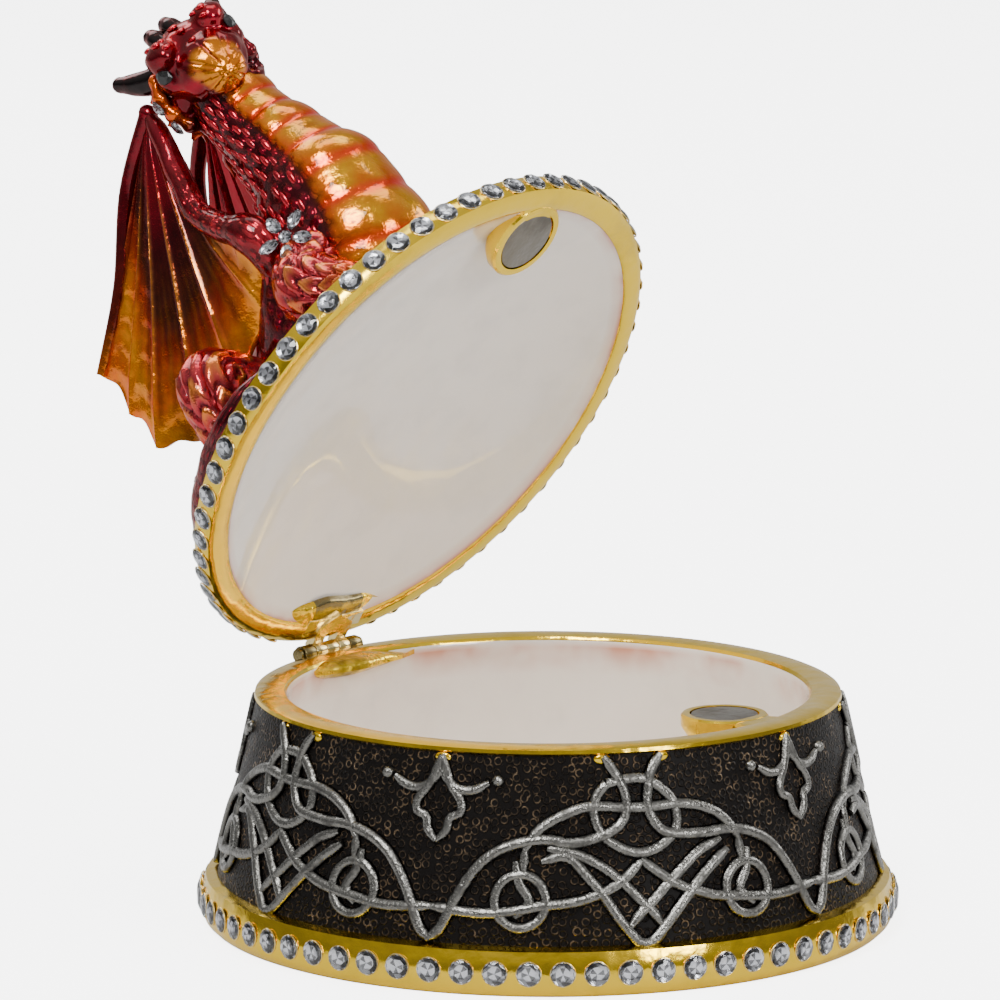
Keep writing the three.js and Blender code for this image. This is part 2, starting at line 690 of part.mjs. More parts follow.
const BROW = [3.7, 2.9, 3.9];
const HORN = [[3.2, -1, 1], [5.6, -4, 1.2], [7.3, -7, 2.2]];
const NUB = [[1.2, 0, 3.4], [1.3, -2, 5.2], [1.4, -4, 6]];
const FRILL = [[0.8, 8], [-2.4, 7.6], [-5.8, 6.8]];
const EYE_PLACE = [4.9, 3.2, 1.6];
const CHEEK_CRYSTALS = [[6.6, 1.6, -0.9], [6.3, 1.4, -4]];

function head() {
  const shapes = [
    headBall(0, 0, -0.2, [5.6, 5.6, 5.2], 9, 6),
    headBall(0, 4.4, -1.6, [4.1, 4.6, 3.6], 8, 5),
    headBall(0, 7, -2, [3.4, 2.7, 3], 8, 5),
    headBall(0, 2, -4.4, [3.8, 4.2, 2.8], 8, 5),
    limb([at(0, 14.5, 44), at(0.4, 18, 46.2)], [3.4, 3], [3.4, 3], 7, 2),
  ];
  for (const mirror of [-1, 1]) {
    const put = ([side, forward, up]) => inHead(mirror * side, forward, up);
    shapes.push(headBall(mirror * BROW[0], BROW[1], BROW[2], [1.9, 2.3, 1.6], 6, 4));
    shapes.push(limb(HORN.map(put), [1.6, 1.35, 0.8], [1.6, 1.35, 0.8], 6, 3));
    shapes.push(limb(NUB.map(put), [1.3, 1.1, 0.9], [1.3, 1.1, 0.9], 6, 3));
    for (const [up, reach] of FRILL) {
      shapes.push(cone(put([3.2, 0.6, up * 0.8]), put([reach, -0.8, up - 0.8]), 2.1, 5));
    }
  }
  return joined(shapes);
}

// Stones sit in pockets of the casting: eyes, two crystals on the cheek, a flower on the shoulder.
const FLOWER = [10.8, 11.9, 21.8];
const FLOWER_FACE = new THREE.Vector3(-0.8, -0.5, 0.1).normalize();

function stonePlaces() {
  const places = [];
  for (const mirror of [1, -1]) {
    const name = mirror > 0 ? "right" : "left";
    const [side, forward, up] = EYE_PLACE;
    const out = HEAD_SIDE.clone().multiplyScalar(mirror).addScaledVector(HEAD_FORWARD, 0.6);
    places.push(["eye_stone_" + name, inHead(mirror * side, forward, up), EYE_RADIUS, out]);
  }
  CHEEK_CRYSTALS.forEach((p, i) => {
    places.push(["dragon_crystal_cheek_" + (i + 1), inHead(...p), CRYSTAL_RADIUS, HEAD_SIDE]);
  });
  const middle = at(-FLOWER[0], FLOWER[1], FLOWER[2]);
  const across = new THREE.Vector3(0, 0, 1).cross(FLOWER_FACE).normalize();
  const upward = new THREE.Vector3().crossVectors(FLOWER_FACE, across);
  places.push(["dragon_crystal_flower_0", middle, CRYSTAL_RADIUS, FLOWER_FACE]);
  const ringRadius = 2 * CRYSTAL_RADIUS + FLOWER_GAP;
  for (let i = 0; i < FLOWER_PETALS; i++) {
    const turn = (2 * Math.PI * (i + 0.25)) / FLOWER_PETALS;
    const petal = middle.clone();
    petal.addScaledVector(across, ringRadius * Math.cos(turn));
    petal.addScaledVector(upward, ringRadius * Math.sin(turn));
    places.push(["dragon_crystal_flower_" + (i + 1), petal, CRYSTAL_RADIUS, FLOWER_FACE]);
  }
  return places;
}

function stone(centre, radius) {
  const sphere = new THREE.SphereGeometry(radius, 6, 4);
  return solidOf(sphere.translate(centre.x, centre.y, centre.z));
}

// Each stone's setting is a short post of the casting, reaching in from the stone's middle.
function setting(centre, radius, out) {
  const way = out.clone().normalize();
  const foot = centre.clone().addScaledVector(way, -SETTING_DEPTH);
  const mouth = centre.clone().addScaledVector(way, SETTING_LIP);
  const wide = radius + STONE_GAP + SETTING_WALL;
  return tube([foot, mouth], [wide, wide], [wide, wide], 6, 1);
}

function makeDragon() {
  const figure = joined([
    torso(),
    scutes(),
    tail(),
    legs(),
    wing(-1),
    wing(1),
    head(),
    ...stonePlaces().map(([, centre, radius, out]) => setting(centre, radius, out)),
    crest(
      SPINE,
      SPINE_COUNT,
      0.2,
      0.97,
      (along) => new THREE.Vector3(0, along.z, -along.y),
      (share) => THREE.MathUtils.lerp(7.6, 4, share),
      () => 2.6,
    ),
    crest(
      tailLine(),
      TAIL_SPINE_COUNT,
      0.3,
      0.85,
      () => new THREE.Vector3(0, 0, 1),
      (share) => THREE.MathUtils.lerp(4, 1.6, share),
      (share) => THREE.MathUtils.lerp(2.2, 1.2, share),
    ),
  ]);
  const below = disc(FOOT_RADIUS + 10, -30, LID_BAND_HEIGHT + FIGURE_GAP, 24);
  const pockets = stonePlaces().map(([, centre, radius]) => stone(centre, radius + STONE_GAP));
  return cast(figure.subtract(joined(pockets)).subtract(lidOutside(FIGURE_GAP)).subtract(below));
}

// Builds the scene.
const group = new THREE.Group();

function place(parent, name, solid, look) {
  const material = new THREE.MeshStandardMaterial(MATERIALS[look]);
  const mesh = new THREE.Mesh(geometryOf(solid), material);
  mesh.name = name;
  parent.add(mesh);
  return mesh;
}

const hingeGroup = new THREE.Group();
hingeGroup.position.set(0, hingeBack, hingeHeight);
hingeGroup.rotation.x = -OPEN_ANGLE;
const lidGroup = new THREE.Group();
lidGroup.position.set(0, -lidHingeY, -lidHingeZ);
hingeGroup.add(lidGroup);
group.add(hingeGroup);

place(group, "box_base", makeBase(), "wall");
place(group, "magnet_base", makeMagnet(magnetY, BASE_HEIGHT, true), "steel");
place(group, "hinge_leaf_base", makeLeafBase(), "brass");
place(group, "hinge_pin", makePin(), "brass");
place(lidGroup, "box_lid", makeLid(), "gold");
place(lidGroup, "magnet_lid", makeMagnet(magnetY - LID_SHIFT, 0, false), "steel");
place(lidGroup, "hinge_leaf_lid", makeLeafLid(), "brass");
place(lidGroup, "dragon", makeDragon(), "redEnamel");
for (const [name, centre, radius] of stonePlaces()) {
  place(lidGroup, name, stone(centre, radius), name.startsWith("eye") ? "blackStone" : "crystal");
}

export default group;
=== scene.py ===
import math
import bpy
import bmesh
import numpy as np
from bpy.props import FloatProperty, FloatVectorProperty, IntProperty, PointerProperty
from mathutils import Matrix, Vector


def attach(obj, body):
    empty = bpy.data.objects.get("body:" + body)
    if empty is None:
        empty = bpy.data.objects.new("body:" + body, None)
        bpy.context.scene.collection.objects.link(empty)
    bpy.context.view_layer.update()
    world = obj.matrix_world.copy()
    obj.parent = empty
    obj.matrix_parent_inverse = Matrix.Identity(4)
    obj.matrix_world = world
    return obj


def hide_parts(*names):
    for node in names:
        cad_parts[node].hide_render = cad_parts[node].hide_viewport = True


bl_info = {
    "name": "Dragon Jewelry Box",
    "version": (1, 0, 0),
    "blender": (4, 5, 0),
    "location": "View3D > Sidebar > Jewelry Box",
    "description": "Builds a round trinket box with knotwork, crystals and an enamelled dragon on its lid",
    "category": "Object",
}

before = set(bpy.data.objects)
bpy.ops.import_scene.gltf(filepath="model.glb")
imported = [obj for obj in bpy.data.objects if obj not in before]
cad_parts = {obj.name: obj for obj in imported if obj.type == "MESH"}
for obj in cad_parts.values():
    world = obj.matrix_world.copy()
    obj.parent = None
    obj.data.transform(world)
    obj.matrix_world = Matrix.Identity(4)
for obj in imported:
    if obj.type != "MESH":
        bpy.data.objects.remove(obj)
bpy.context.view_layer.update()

# Sizes of the frame's solids, in millimetres. The lid's own frame has its origin at the middle of the
# lid's face, Y to the hinge and Z out of its top.
MM = 0.001
BASE_HEIGHT = 26.7
WALL_FOOT, WALL_TOP = 5.4, 25.83
WALL_LOW_RADIUS, WALL_TOP_RADIUS = 38.2, 33.55
LID_RADIUS, LID_BAND_HEIGHT, LID_RISE = 32.77, 3.1, 4.0
OPEN_ANGLE = math.radians(59.28)
LID_SHIFT, LID_GAP = 0.98, 0.73
HINGE = np.array([0, 34.56, 26.57])
LID_HINGE = HINGE - [0, LID_SHIFT, BASE_HEIGHT + LID_GAP]
KNUCKLE_RADIUS, LEAF_THICKNESS = 1.05, 0.7
MAGNET_SIDE, MAGNET_FROM_CENTRE = 2.2, 24.6
MAGNET_Y = -math.sqrt(MAGNET_FROM_CENTRE ** 2 - MAGNET_SIDE ** 2)
KNOT_REPEATS, KNOT_START = 5, -123.2

# A casting's materials by their place in its list, and the wall radius at which its pattern is true to size.
CASTING_LOOKS = ("gold_plate", "punched_wall", "cream_enamel", "underside_gold", "rubbed_silver",
                 "soldered_gold",
                 "shaded_brass")
GOLD, WALL, CREAM, UNDERSIDE, STRAND, SOLDER, PAD_SHADE = range(len(CASTING_LOOKS))
PATTERN_RADIUS = 36
LATHE_SIDES = 240
GREY = (0.5, 0.5, 0.5)
GROUP_SOCKETS = {"Float": "NodeSocketFloat", "Color": "NodeSocketColor", "Vector": "NodeSocketVector"}


def as_given(points):
    return points


def from_lid(points):
    """Points of the lid's own frame, placed in the shared frame with the lid open."""
    p = np.asarray(points, float) - LID_HINGE
    c, s = math.cos(OPEN_ANGLE), math.sin(OPEN_ANGLE)
    y, z = p[..., 1], p[..., 2]
    return np.stack([p[..., 0], y * c + z * s, z * c - y * s], -1) + HINGE


def turned_by_lid(direction):
    return from_lid(direction) - from_lid(np.zeros(3))


def at(side, front, up):
    return np.array([side, -front, up], float)


def smooth(a, b, x):
    t = np.clip((np.asarray(x, float) - a) / (b - a), 0, 1)
    return t * t * (3 - 2 * t)


def unit(v):
    v = np.asarray(v, float)
    return v / np.maximum(np.linalg.norm(v, axis=-1, keepdims=True), 1e-9)


def mix(a, b, t):
    t = np.asarray(t, float)[..., None]
    return np.asarray(a, float) * (1 - t) + np.asarray(b, float) * t


def ramp(stops, x):
    """A colour for each x, from a list of (place, colour)."""
    places = [s[0] for s in stops]
    return np.stack([np.interp(x, places, [s[1][i] for s in stops]) for i in range(3)], -1)


def wobble(p, size, seed=0):
    """Soft noise from -1 to 1, the same each run."""
    q = np.asarray(p, float) / size
    a = np.sin(q[..., 0] * 1.7 + 2.3 * np.sin(q[..., 1] * 1.1 + seed) + seed)
    b = np.sin(q[..., 1] * 1.9 + 2.1 * np.sin(q[..., 2] * 1.3 + seed * 2) + 1.7)
    c = np.sin(q[..., 2] * 1.5 + 1.9 * np.sin(q[..., 0] * 1.2 + seed * 3) + 0.6)
    return (a + b + c) / 3


# Curves

CURVE_STEPS = 24


def spline(points, count):
    """Points spread evenly by length along a centripetal curve, with each one's direction, share and length."""
    p = np.asarray(points, float)
    ends = np.vstack([2 * p[0] - p[1], p, 2 * p[-1] - p[-2]])
    out = []
    for i in range(1, len(ends) - 2):
        a, b, c, d = ends[i - 1 : i + 3]
        gaps = [max(np.linalg.norm(step), 1e-6) ** 0.5 for step in (b - a, c - b, d - c)]
        t0, t1, t2, t3 = 0.0, gaps[0], gaps[0] + gaps[1], gaps[0] + gaps[1] + gaps[2]
        t = np.linspace(t1, t2, CURVE_STEPS, endpoint=i == len(ends) - 3)[:, None]

        def between(low, high, p, q):
            return (high - t) / (high - low) * p + (t - low) / (high - low) * q

        a1, a2, a3 = between(t0, t1, a, b), between(t1, t2, b, c), between(t2, t3, c, d)
        out.append(between(t1, t2, between(t0, t2, a1, a2), between(t1, t3, a2, a3)))
    line = np.vstack(out)
    steps = np.linalg.norm(np.diff(line, axis=0), axis=1)
    length = np.concatenate([[0], np.cumsum(steps)])
    knots = np.arange(len(p)) / (len(p) - 1)
    # The share of the points list that each place stands for, so that widths follow their points.
    share = np.interp(np.arange(len(line)), np.arange(len(p)) * CURVE_STEPS, knots)
    want = np.linspace(0, length[-1], count)
    spots = np.stack([np.interp(want, length, line[:, i]) for i in range(line.shape[1])], 1)
    return spots, unit(np.gradient(spots, axis=0)), np.interp(want, length, share), want


def eased(values, share):
    """Widths between their points, with the same easing as the frame's solids."""
    x = np.asarray(share) * (len(values) - 1)
    i = np.minimum(x.astype(int), len(values) - 2)
    f = x - i
    v = np.asarray(values, float)
    return v[i] + (v[i + 1] - v[i]) * f * f * (3 - 2 * f)


def circle(count):
    return np.arange(count) * 2 * math.pi / count


def squared(a, power):
    """The cosine and sine of an angle, bent towards a rounded square."""
    c, s = np.cos(a), np.sin(a)
    return np.sign(c) * np.abs(c) ** power, np.sign(s) * np.abs(s) ** power


def end_caps(rings, sides):
    """The two faces that close a tube of rings."""
    return [tuple(range(sides))[::-1], tuple((rings - 1) * sides + j for j in range(sides))]


def grid_faces(rows, columns, closed=True):
    i, j = np.meshgrid(np.arange(rows - 1), np.arange(columns if closed else columns - 1), indexing="ij")
    k = (j + 1) % columns
    a, b = i * columns + j, i * columns + k
    return np.stack([a, b, b + columns, a + columns], -1).reshape(-1, 4).tolist()


class Sheet:
    """Points, faces, colours and looks of one piece while it is put together, in millimetres."""

    def __init__(self):
        self.points, self.faces, self.looks = [], [], []
        self.tints, self.grains = [], []
        self.count = 0

    def add(self, points, faces, look=0, tint=GREY, grain=None):
        points = np.asarray(points, float).reshape(-1, 3)
        n = len(points)
        self.points.append(points)
        self.tints.append(np.broadcast_to(np.asarray(tint, float), (n, 3)))
        self.grains.append(np.zeros((n, 3)) if grain is None else np.asarray(grain, float).reshape(-1, 3))
        self.faces += [tuple(v + self.count for v in f) for f in faces]
        self.looks += [look] * len(faces) if np.isscalar(look) else list(look)
        self.count += n

    def tube(self, points, widths, depths, side, sides, rings, tint=None, grain=None, shape=None):
        """A closed tube along a curve. shape, tint and grain are functions of share, turn and length."""
        spots, along, share, length = spline(points, rings)
        across = np.broadcast_to(np.asarray(side, float), along.shape).copy()
        across = unit(across - along * np.sum(across * along, 1)[:, None])
        up = np.cross(along, across)
        turn = circle(sides)
        w = eased(widths, share)[:, None, None]
        d = eased(depths, share)[:, None, None]
        c, s = np.cos(turn)[None, :, None], np.sin(turn)[None, :, None]
        rim = across[:, None] * w * c + up[:, None] * d * s
        t, a = np.meshgrid(share, turn, indexing="ij")
        l = np.broadcast_to(length[:, None], t.shape)
        if shape is not None:
            rim = rim + unit(rim) * shape(t, a, l, rim + spots[:, None])[..., None]
        body = spots[:, None] + rim
        points = np.vstack([body.reshape(-1, 3), spots[:1], spots[-1:]])
        faces = grid_faces(rings, sides)
        end = rings * sides
        faces += [(end, (j + 1) % sides, j) for j in range(sides)]
        last = (rings - 1) * sides
        faces += [(end + 1, last + j, last + (j + 1) % sides) for j in range(sides)]

        def with_ends(values):
            values = values(t, a, l, body).reshape(-1, 3)
            return np.vstack([values, values[:1], values[-1:]])

        tints, marks = with_ends(tint) if tint else GREY, with_ends(grain) if grain else None
        self.add(points, faces, tint=tints, grain=marks)

    def ball(self, centre, radii, axes=np.eye(3), look=0, tint=GREY, wide=16, high=9, crest=0.0):
        """An oval bead. axes holds its three directions as rows."""
        v, u = np.meshgrid(np.linspace(0, math.pi, high), circle(wide), indexing="ij")
        local = np.stack([np.sin(v) * np.cos(u), np.sin(v) * np.sin(u), np.cos(v)], -1)
        points = centre + (local * np.asarray(radii)) @ np.asarray(axes)
        marks = np.zeros((wide * high, 3))
        marks[:, 2] = crest
        self.add(points, [f[::-1] for f in grid_faces(high, wide)], look, tint, marks)

    def lathe(self, profile, looks, sides, place=as_given):
        """A profile of (radius, height) turned round Z. looks holds one material for each step of it."""
        profile = np.asarray(profile, float)
        turn = circle(sides)
        x = profile[:, 0, None] * np.cos(turn)
        y = profile[:, 0, None] * np.sin(turn)
        z = np.broadcast_to(profile[:, 1, None], x.shape)
        arc = np.broadcast_to(turn * PATTERN_RADIUS, x.shape)
        grain = np.stack([arc, z, np.zeros_like(x)], -1)
        marks = [look for look in looks for _ in range(sides)]
        self.add(place(np.stack([x, y, z], -1)), grid_faces(len(profile), sides), marks, grain=grain)

    def build(self, name, materials, body, replaced, slot, crease=50):
        """The finished piece. An edge sharper than crease, in degrees, is shaded sharp."""
        mesh = bpy.data.meshes.new(name)
        points = np.vstack(self.points) * MM
        mesh.from_pydata(points.tolist(), [], self.faces)
        for material in materials:
            mesh.materials.append(material)
        mesh.polygons.foreach_set("material_index", np.asarray(self.looks, np.int32))
        mesh.polygons.foreach_set("use_smooth", np.ones(len(self.faces), bool))
        tints = np.ones((self.count, 4), np.float32)
        tints[:, :3] = np.vstack(self.tints)
        mesh.attributes.new("tint", "FLOAT_COLOR", "POINT").data.foreach_set("color", tints.ravel())
        grains = np.vstack(self.grains).astype(np.float32)
        mesh.attributes.new("grain", "FLOAT_VECTOR", "POINT").data.foreach_set("vector", grains.ravel())
        work = bmesh.new()
        work.from_mesh(mesh)
        bmesh.ops.remove_doubles(work, verts=work.verts, dist=1e-7)
        bmesh.ops.dissolve_degenerate(work, edges=work.edges, dist=1e-8)
        bmesh.ops.recalc_face_normals(work, faces=work.faces)
        work.to_mesh(mesh)
        work.free()
        mesh.update()
        piece = bpy.data.objects.new(name, mesh)
        bpy.context.scene.collection.objects.link(piece)
        mesh.set_sharp_from_angle(angle=math.radians(crease))
        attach(piece, body)
        if replaced:
            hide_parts(*replaced)


# Shader groups and materials


def group(name, inputs, outputs):
    tree = bpy.data.node_groups.new(name, "ShaderNodeTree")
    for label, kind, default in inputs:
        socket = tree.interface.new_socket(label, in_out="INPUT", socket_type=GROUP_SOCKETS[kind])
        if default is not None:
            socket.default_value = default
    for label, kind in outputs:
        tree.interface.new_socket(label, in_out="OUTPUT", socket_type=GROUP_SOCKETS[kind])
    return Nodes(tree)


class Nodes:
    """Short calls that add nodes to a tree and link them."""

    def __init__(self, tree):
        self.tree = tree

    def new(self, kind, inputs=(), **settings):
        node = self.tree.nodes.new(kind)
        for key, value in settings.items():
            setattr(node, key, value)
        for key, value in dict(inputs).items():
            if isinstance(value, bpy.types.NodeSocket):
                self.tree.links.new(value, node.inputs[key])
            else:
                node.inputs[key].default_value = value
        return node

    def math(self, operation, a, b):
        return self.new("ShaderNodeMath", {0: a, 1: b}, operation=operation).outputs[0]

    def noise(self, vector, scale, detail, roughness=0.55):
        inputs = {"Scale": scale, "Detail": detail, "Roughness": roughness, "Vector": vector}
        return self.new("ShaderNodeTexNoise", inputs).outputs["Fac"]

    def cells(self, vector, scale, randomness):
        """The distance to the nearest point of a scattered pattern."""
        inputs = {"Vector": vector, "Scale": scale, "Randomness": randomness}
        settings = {"voronoi_dimensions": "2D", "feature": "F1"}
        return self.new("ShaderNodeTexVoronoi", inputs, **settings).outputs["Distance"]

    def bump(self, height, distance, strength=1.0):
        inputs = {"Height": height, "Distance": distance, "Strength": strength}
        return self.new("ShaderNodeBump", inputs).outputs[0]

    def blend(self, fac, a, b, kind="MIX"):
        node = self.new("ShaderNodeMix", data_type="RGBA", blend_type=kind)
        for key, value in (("Factor_Float", fac), ("A_Color", a), ("B_Color", b)):
            socket = next(s for s in node.inputs if s.identifier == key)
            if isinstance(value, bpy.types.NodeSocket):
                self.tree.links.new(value, socket)
            else:
                socket.default_value = value
        return next(s for s in node.outputs if s.identifier == "Result_Color")

    def range(self, value, low, high, to_low=0.0, to_high=1.0):
        inputs = {"Value": value, "From Min": low, "From Max": high, "To Min": to_low, "To Max": to_high}
        return self.new("ShaderNodeMapRange", inputs, interpolation_type="SMOOTHSTEP").outputs["Result"]

    def place(self):
        return self.new("ShaderNodeTexCoord").outputs["Object"]

    def attribute(self, name, output="Vector"):
        return self.new("ShaderNodeAttribute", attribute_name=name).outputs[output]

    def grain(self):
        """The grain's place across, its place along and its mark, as outputs X, Y and Z."""
        return self.new("ShaderNodeSeparateXYZ", {0: self.attribute("grain")}).outputs


def make_groups():
    """Effects that several finishes share."""
    n = group(
        "Cast Unevenness",
        [("Scale", "Float", 300.0), ("Depth", "Float", 0.0002), ("Fine", "Float", 0.3)],
        [("Normal", "Vector")],
    )
    given = n.new("NodeGroupInput").outputs
    place = n.place()
    broad = n.noise(place, given["Scale"], 2.0)
    fine = n.noise(place, n.math("MULTIPLY", given["Scale"], 5.0), 2.0)
    height = n.math("ADD", broad, n.math("MULTIPLY", fine, given["Fine"]))
    n.new("NodeGroupOutput", {"Normal": n.bump(height, given["Depth"])})

    n = group(
        "Tarnish",
        [("Color", "Color", None), ("Dark", "Color", None),
         ("Scale", "Float", 120.0), ("Amount", "Float", 0.3)],
        [("Color", "Color"), ("Roughness", "Float")],
    )
    given = n.new("NodeGroupInput").outputs
    cloud = n.noise(n.place(), given["Scale"], 5.0, 0.62)
    patch = n.math("MULTIPLY", n.range(cloud, 0.48, 0.72), given["Amount"])
    colour = n.blend(patch, given["Color"], given["Dark"])
    rough = n.math("ADD", n.math("MULTIPLY", patch, 0.35), n.math("MULTIPLY", cloud, 0.12))
    n.new("NodeGroupOutput", {"Color": colour, "Roughness": rough})

    n = group(
        "Scale Relief",
        [("Length", "Float", 1.5), ("Width", "Float", 1.0)],
        [("Height", "Float"), ("Crest", "Float")],
    )
    given = n.new("NodeGroupInput").outputs
    grain = n.grain()
    u = n.math("DIVIDE", grain["X"], given["Length"])
    v = n.math("DIVIDE", grain["Y"], given["Width"])
    both = n.new("ShaderNodeCombineXYZ", {0: u, 1: v}).outputs[0]
    dome = n.range(n.cells(both, 1.0, 0.35), 0.55, 0.12)
    mask = n.math("MULTIPLY", dome, grain["Z"])
    n.new("NodeGroupOutput", {"Height": mask, "Crest": n.math("POWER", mask, 2.0)})


def use(n, name, inputs):
    """The outputs of a shared effect."""
    return n.new("ShaderNodeGroup", inputs, node_tree=bpy.data.node_groups[name]).outputs


def finish(name, **values):
    """The nodes and the Principled shader of a new material."""
    material = bpy.data.materials.new(name)
    material.use_nodes = True
    tree = material.node_tree
    tree.nodes.clear()
    n = Nodes(tree)
    shader = n.new("ShaderNodeBsdfPrincipled", {k.replace("_", " "): v for k, v in values.items()})
    output = n.new("ShaderNodeOutputMaterial")
    tree.links.new(shader.outputs[0], output.inputs[0])
    return n, shader


def link(n, source, shader, name):
    n.tree.links.new(source, shader.inputs[name])


def rgba(colour, share=1.0):
    return (*(c * share for c in colour), 1.0)


def uneven(n, shader, scale, depth, fine):
    """The soft unevenness of a cast surface."""
    normal = use(n, "Cast Unevenness", {"Scale": scale, "Depth": depth, "Fine": fine})["Normal"]
    link(n, normal, shader, "Normal")


def make_metal(name, colour, bright, dark, depth, amount, scale, base_rough):
    """Cast metal. bright and dark are shares of its colour, and amount is how much of it is dark."""
    n, shader = finish(name, Metallic=1.0)
    colours = {"Color": rgba(colour, bright), "Dark": rgba(colour, dark)}
    tarnish = use(n, "Tarnish", {**colours, "Scale": 110.0, "Amount": amount})
    link(n, tarnish["Color"], shader, "Base Color")
    link(n, n.math("ADD", tarnish["Roughness"], base_rough), shader, "Roughness")
    uneven(n, shader, scale, depth, 0.12)


def make_cream(name, colour, stain):
    """Thick cream enamel with a burnt orange line where it meets the gold."""
    n, shader = finish(name, Coat_Weight=1.0, Coat_Roughness=0.03)
    grain = n.grain()
    cloud = n.noise(n.place(), 160.0, 4.0)
    faint = n.blend(n.range(cloud, 0.45, 0.75), rgba(colour), rgba(colour, 0.93))
    edge = n.math("MULTIPLY", grain["Z"], n.range(n.noise(n.place(), 90.0, 3.0), 0.3, 0.6))
    link(n, n.blend(edge, faint, rgba(stain)), shader, "Base Color")
    link(n, n.range(cloud, 0.3, 0.8, 0.12, 0.24), shader, "Roughness")
    uneven(n, shader, 90.0, 0.0006, 0.05)


def make_punched(name, ground, rim):
    """Near-black wall, punched all over with small rings whose rims are rubbed brown gold and lightened in
    partial arcs as painted glints.
    """
    n, shader = finish(name, Specular_IOR_Level=0.1)
    grain = n.grain()
    spread = n.new("ShaderNodeCombineXYZ", {0: grain["X"], 1: grain["Y"]}).outputs[0]
    cell = n.cells(spread, 0.92, 0.6)
    ring = n.math("MULTIPLY", n.range(cell, 0.22, 0.33), n.range(cell, 0.5, 0.38))
    rubbed = n.range(n.noise(n.place(), 420.0, 4.0), 0.47, 0.66)
    # Painted glint: the rims take their lighter colour only in scattered partial arcs.
    arc = n.range(n.noise(n.place(), 1500.0, 1.0), 0.42, 0.6, 0.12, 1.0)
    worn = n.math("ADD", n.math("MULTIPLY", rubbed, 0.85), 0.12)
    # The rim colour shows rubbed wear on the rims and painted glints in the arcs.
    rim_wear_and_glint = n.math("MULTIPLY", n.math("MULTIPLY", ring, arc), worn)
    link(n, n.blend(rim_wear_and_glint, rgba(ground), rgba(rim)), shader, "Base Color")
    link(n, n.range(rim_wear_and_glint, 0.0, 1.0, 0.0, 0.8), shader, "Metallic")
    link(n, n.range(rim_wear_and_glint, 0.0, 1.0, 0.42, 0.26), shader, "Roughness")
    link(n, n.bump(ring, 0.0004), shader, "Normal")


def make_strand(name, silver, dark):
    """Rubbed silver strands, with painted shade where they meet the wall."""
    n, shader = finish(name, Metallic=1.0)
    grain = n.grain()
    tarnish = use(n, "Tarnish", {"Color": rgba(silver), "Dark": rgba(dark), "Scale": 500.0, "Amount": 0.55})
    # Painted shade: the strands' edges darken to the wall's colour in the crease where they meet it.
    foot = n.range(grain["Z"], 0.25, 0.75)
    link(n, n.blend(foot, rgba(dark), tarnish["Color"]), shader, "Base Color")
    link(n, n.math("ADD", tarnish["Roughness"], 0.2), shader, "Roughness")
    uneven(n, shader, 700.0, 0.0002, 0.4)


def make_enamel(name):
    """Clear coloured enamel over bright cast metal, with raised scales where the grain marks them and a painted
    highlight on their crests.
    """
    n, shader = finish(name, Coat_Weight=0.45, Coat_Roughness=0.03, Metallic=0.82,
                       Specular_Tint=(0.9, 0.3, 0.2, 1.0))
    tint = n.attribute("tint", "Color")
    place = n.place()
    pool = n.noise(place, 330.0, 4.0, 0.6)
    deep = n.new("ShaderNodeGamma", {"Color": tint, "Gamma": 1.5}).outputs[0]
    pooled = n.blend(n.range(pool, 0.66, 0.34, 0.0, 0.6), tint, deep)
    relief = use(n, "Scale Relief", {"Length": 1.7, "Width": 1.15})
    # Painted highlight: the crests of the raised scales take a lighter, whiter copy of the tint.
    bright = n.blend(1.0, tint, (2.4, 1.8, 2.0, 1.0), "MULTIPLY")
    link(n, n.blend(n.math("MULTIPLY", relief["Crest"], 0.8), pooled, bright), shader, "Base Color")
    foil = n.noise(place, 900.0, 3.0, 0.6)
    ripple = n.noise(place, 260.0, 2.0, 0.5)
    height = n.math("ADD", n.math("MULTIPLY", foil, 0.35), ripple)
    height = n.math("ADD", height, n.math("MULTIPLY", relief["Height"], 1.1))
    link(n, n.bump(height, 0.00035, 0.85), shader, "Normal")
    link(n, n.range(foil, 0.3, 0.7, 0.1, 0.22), shader, "Roughness")


def make_crystal(name):
    n, shader = finish(name, IOR=1.62, Transmission_Weight=1.0, Roughness=0.0)
    clear = n.noise(n.place(), 800.0, 2.0)
    link(n, n.blend(clear, (0.97, 0.98, 1.0, 1.0), (0.9, 0.93, 0.97, 1.0)), shader, "Base Color")


def make_foil(name, low, high):
    n, shader = finish(name, Metallic=1.0)
    cloud = n.noise(n.place(), 900.0, 2.0)
    link(n, n.blend(cloud, (low, low, low * 1.04, 1.0), (high, high, high * 1.03, 1.0)), shader, "Base Color")
    link(n, n.range(cloud, 0.3, 0.7, 0.08, 0.2), shader, "Roughness")


def make_black_stone(name):
    n, shader = finish(name, Specular_IOR_Level=0.07)
    cloud = n.noise(n.place(), 600.0, 3.0)
    link(n, n.blend(cloud, (0.004, 0.004, 0.005, 1.0), (0.02, 0.018, 0.02, 1.0)), shader, "Base Color")
    link(n, n.range(cloud, 0.3, 0.7, 0.06, 0.14), shader, "Roughness")


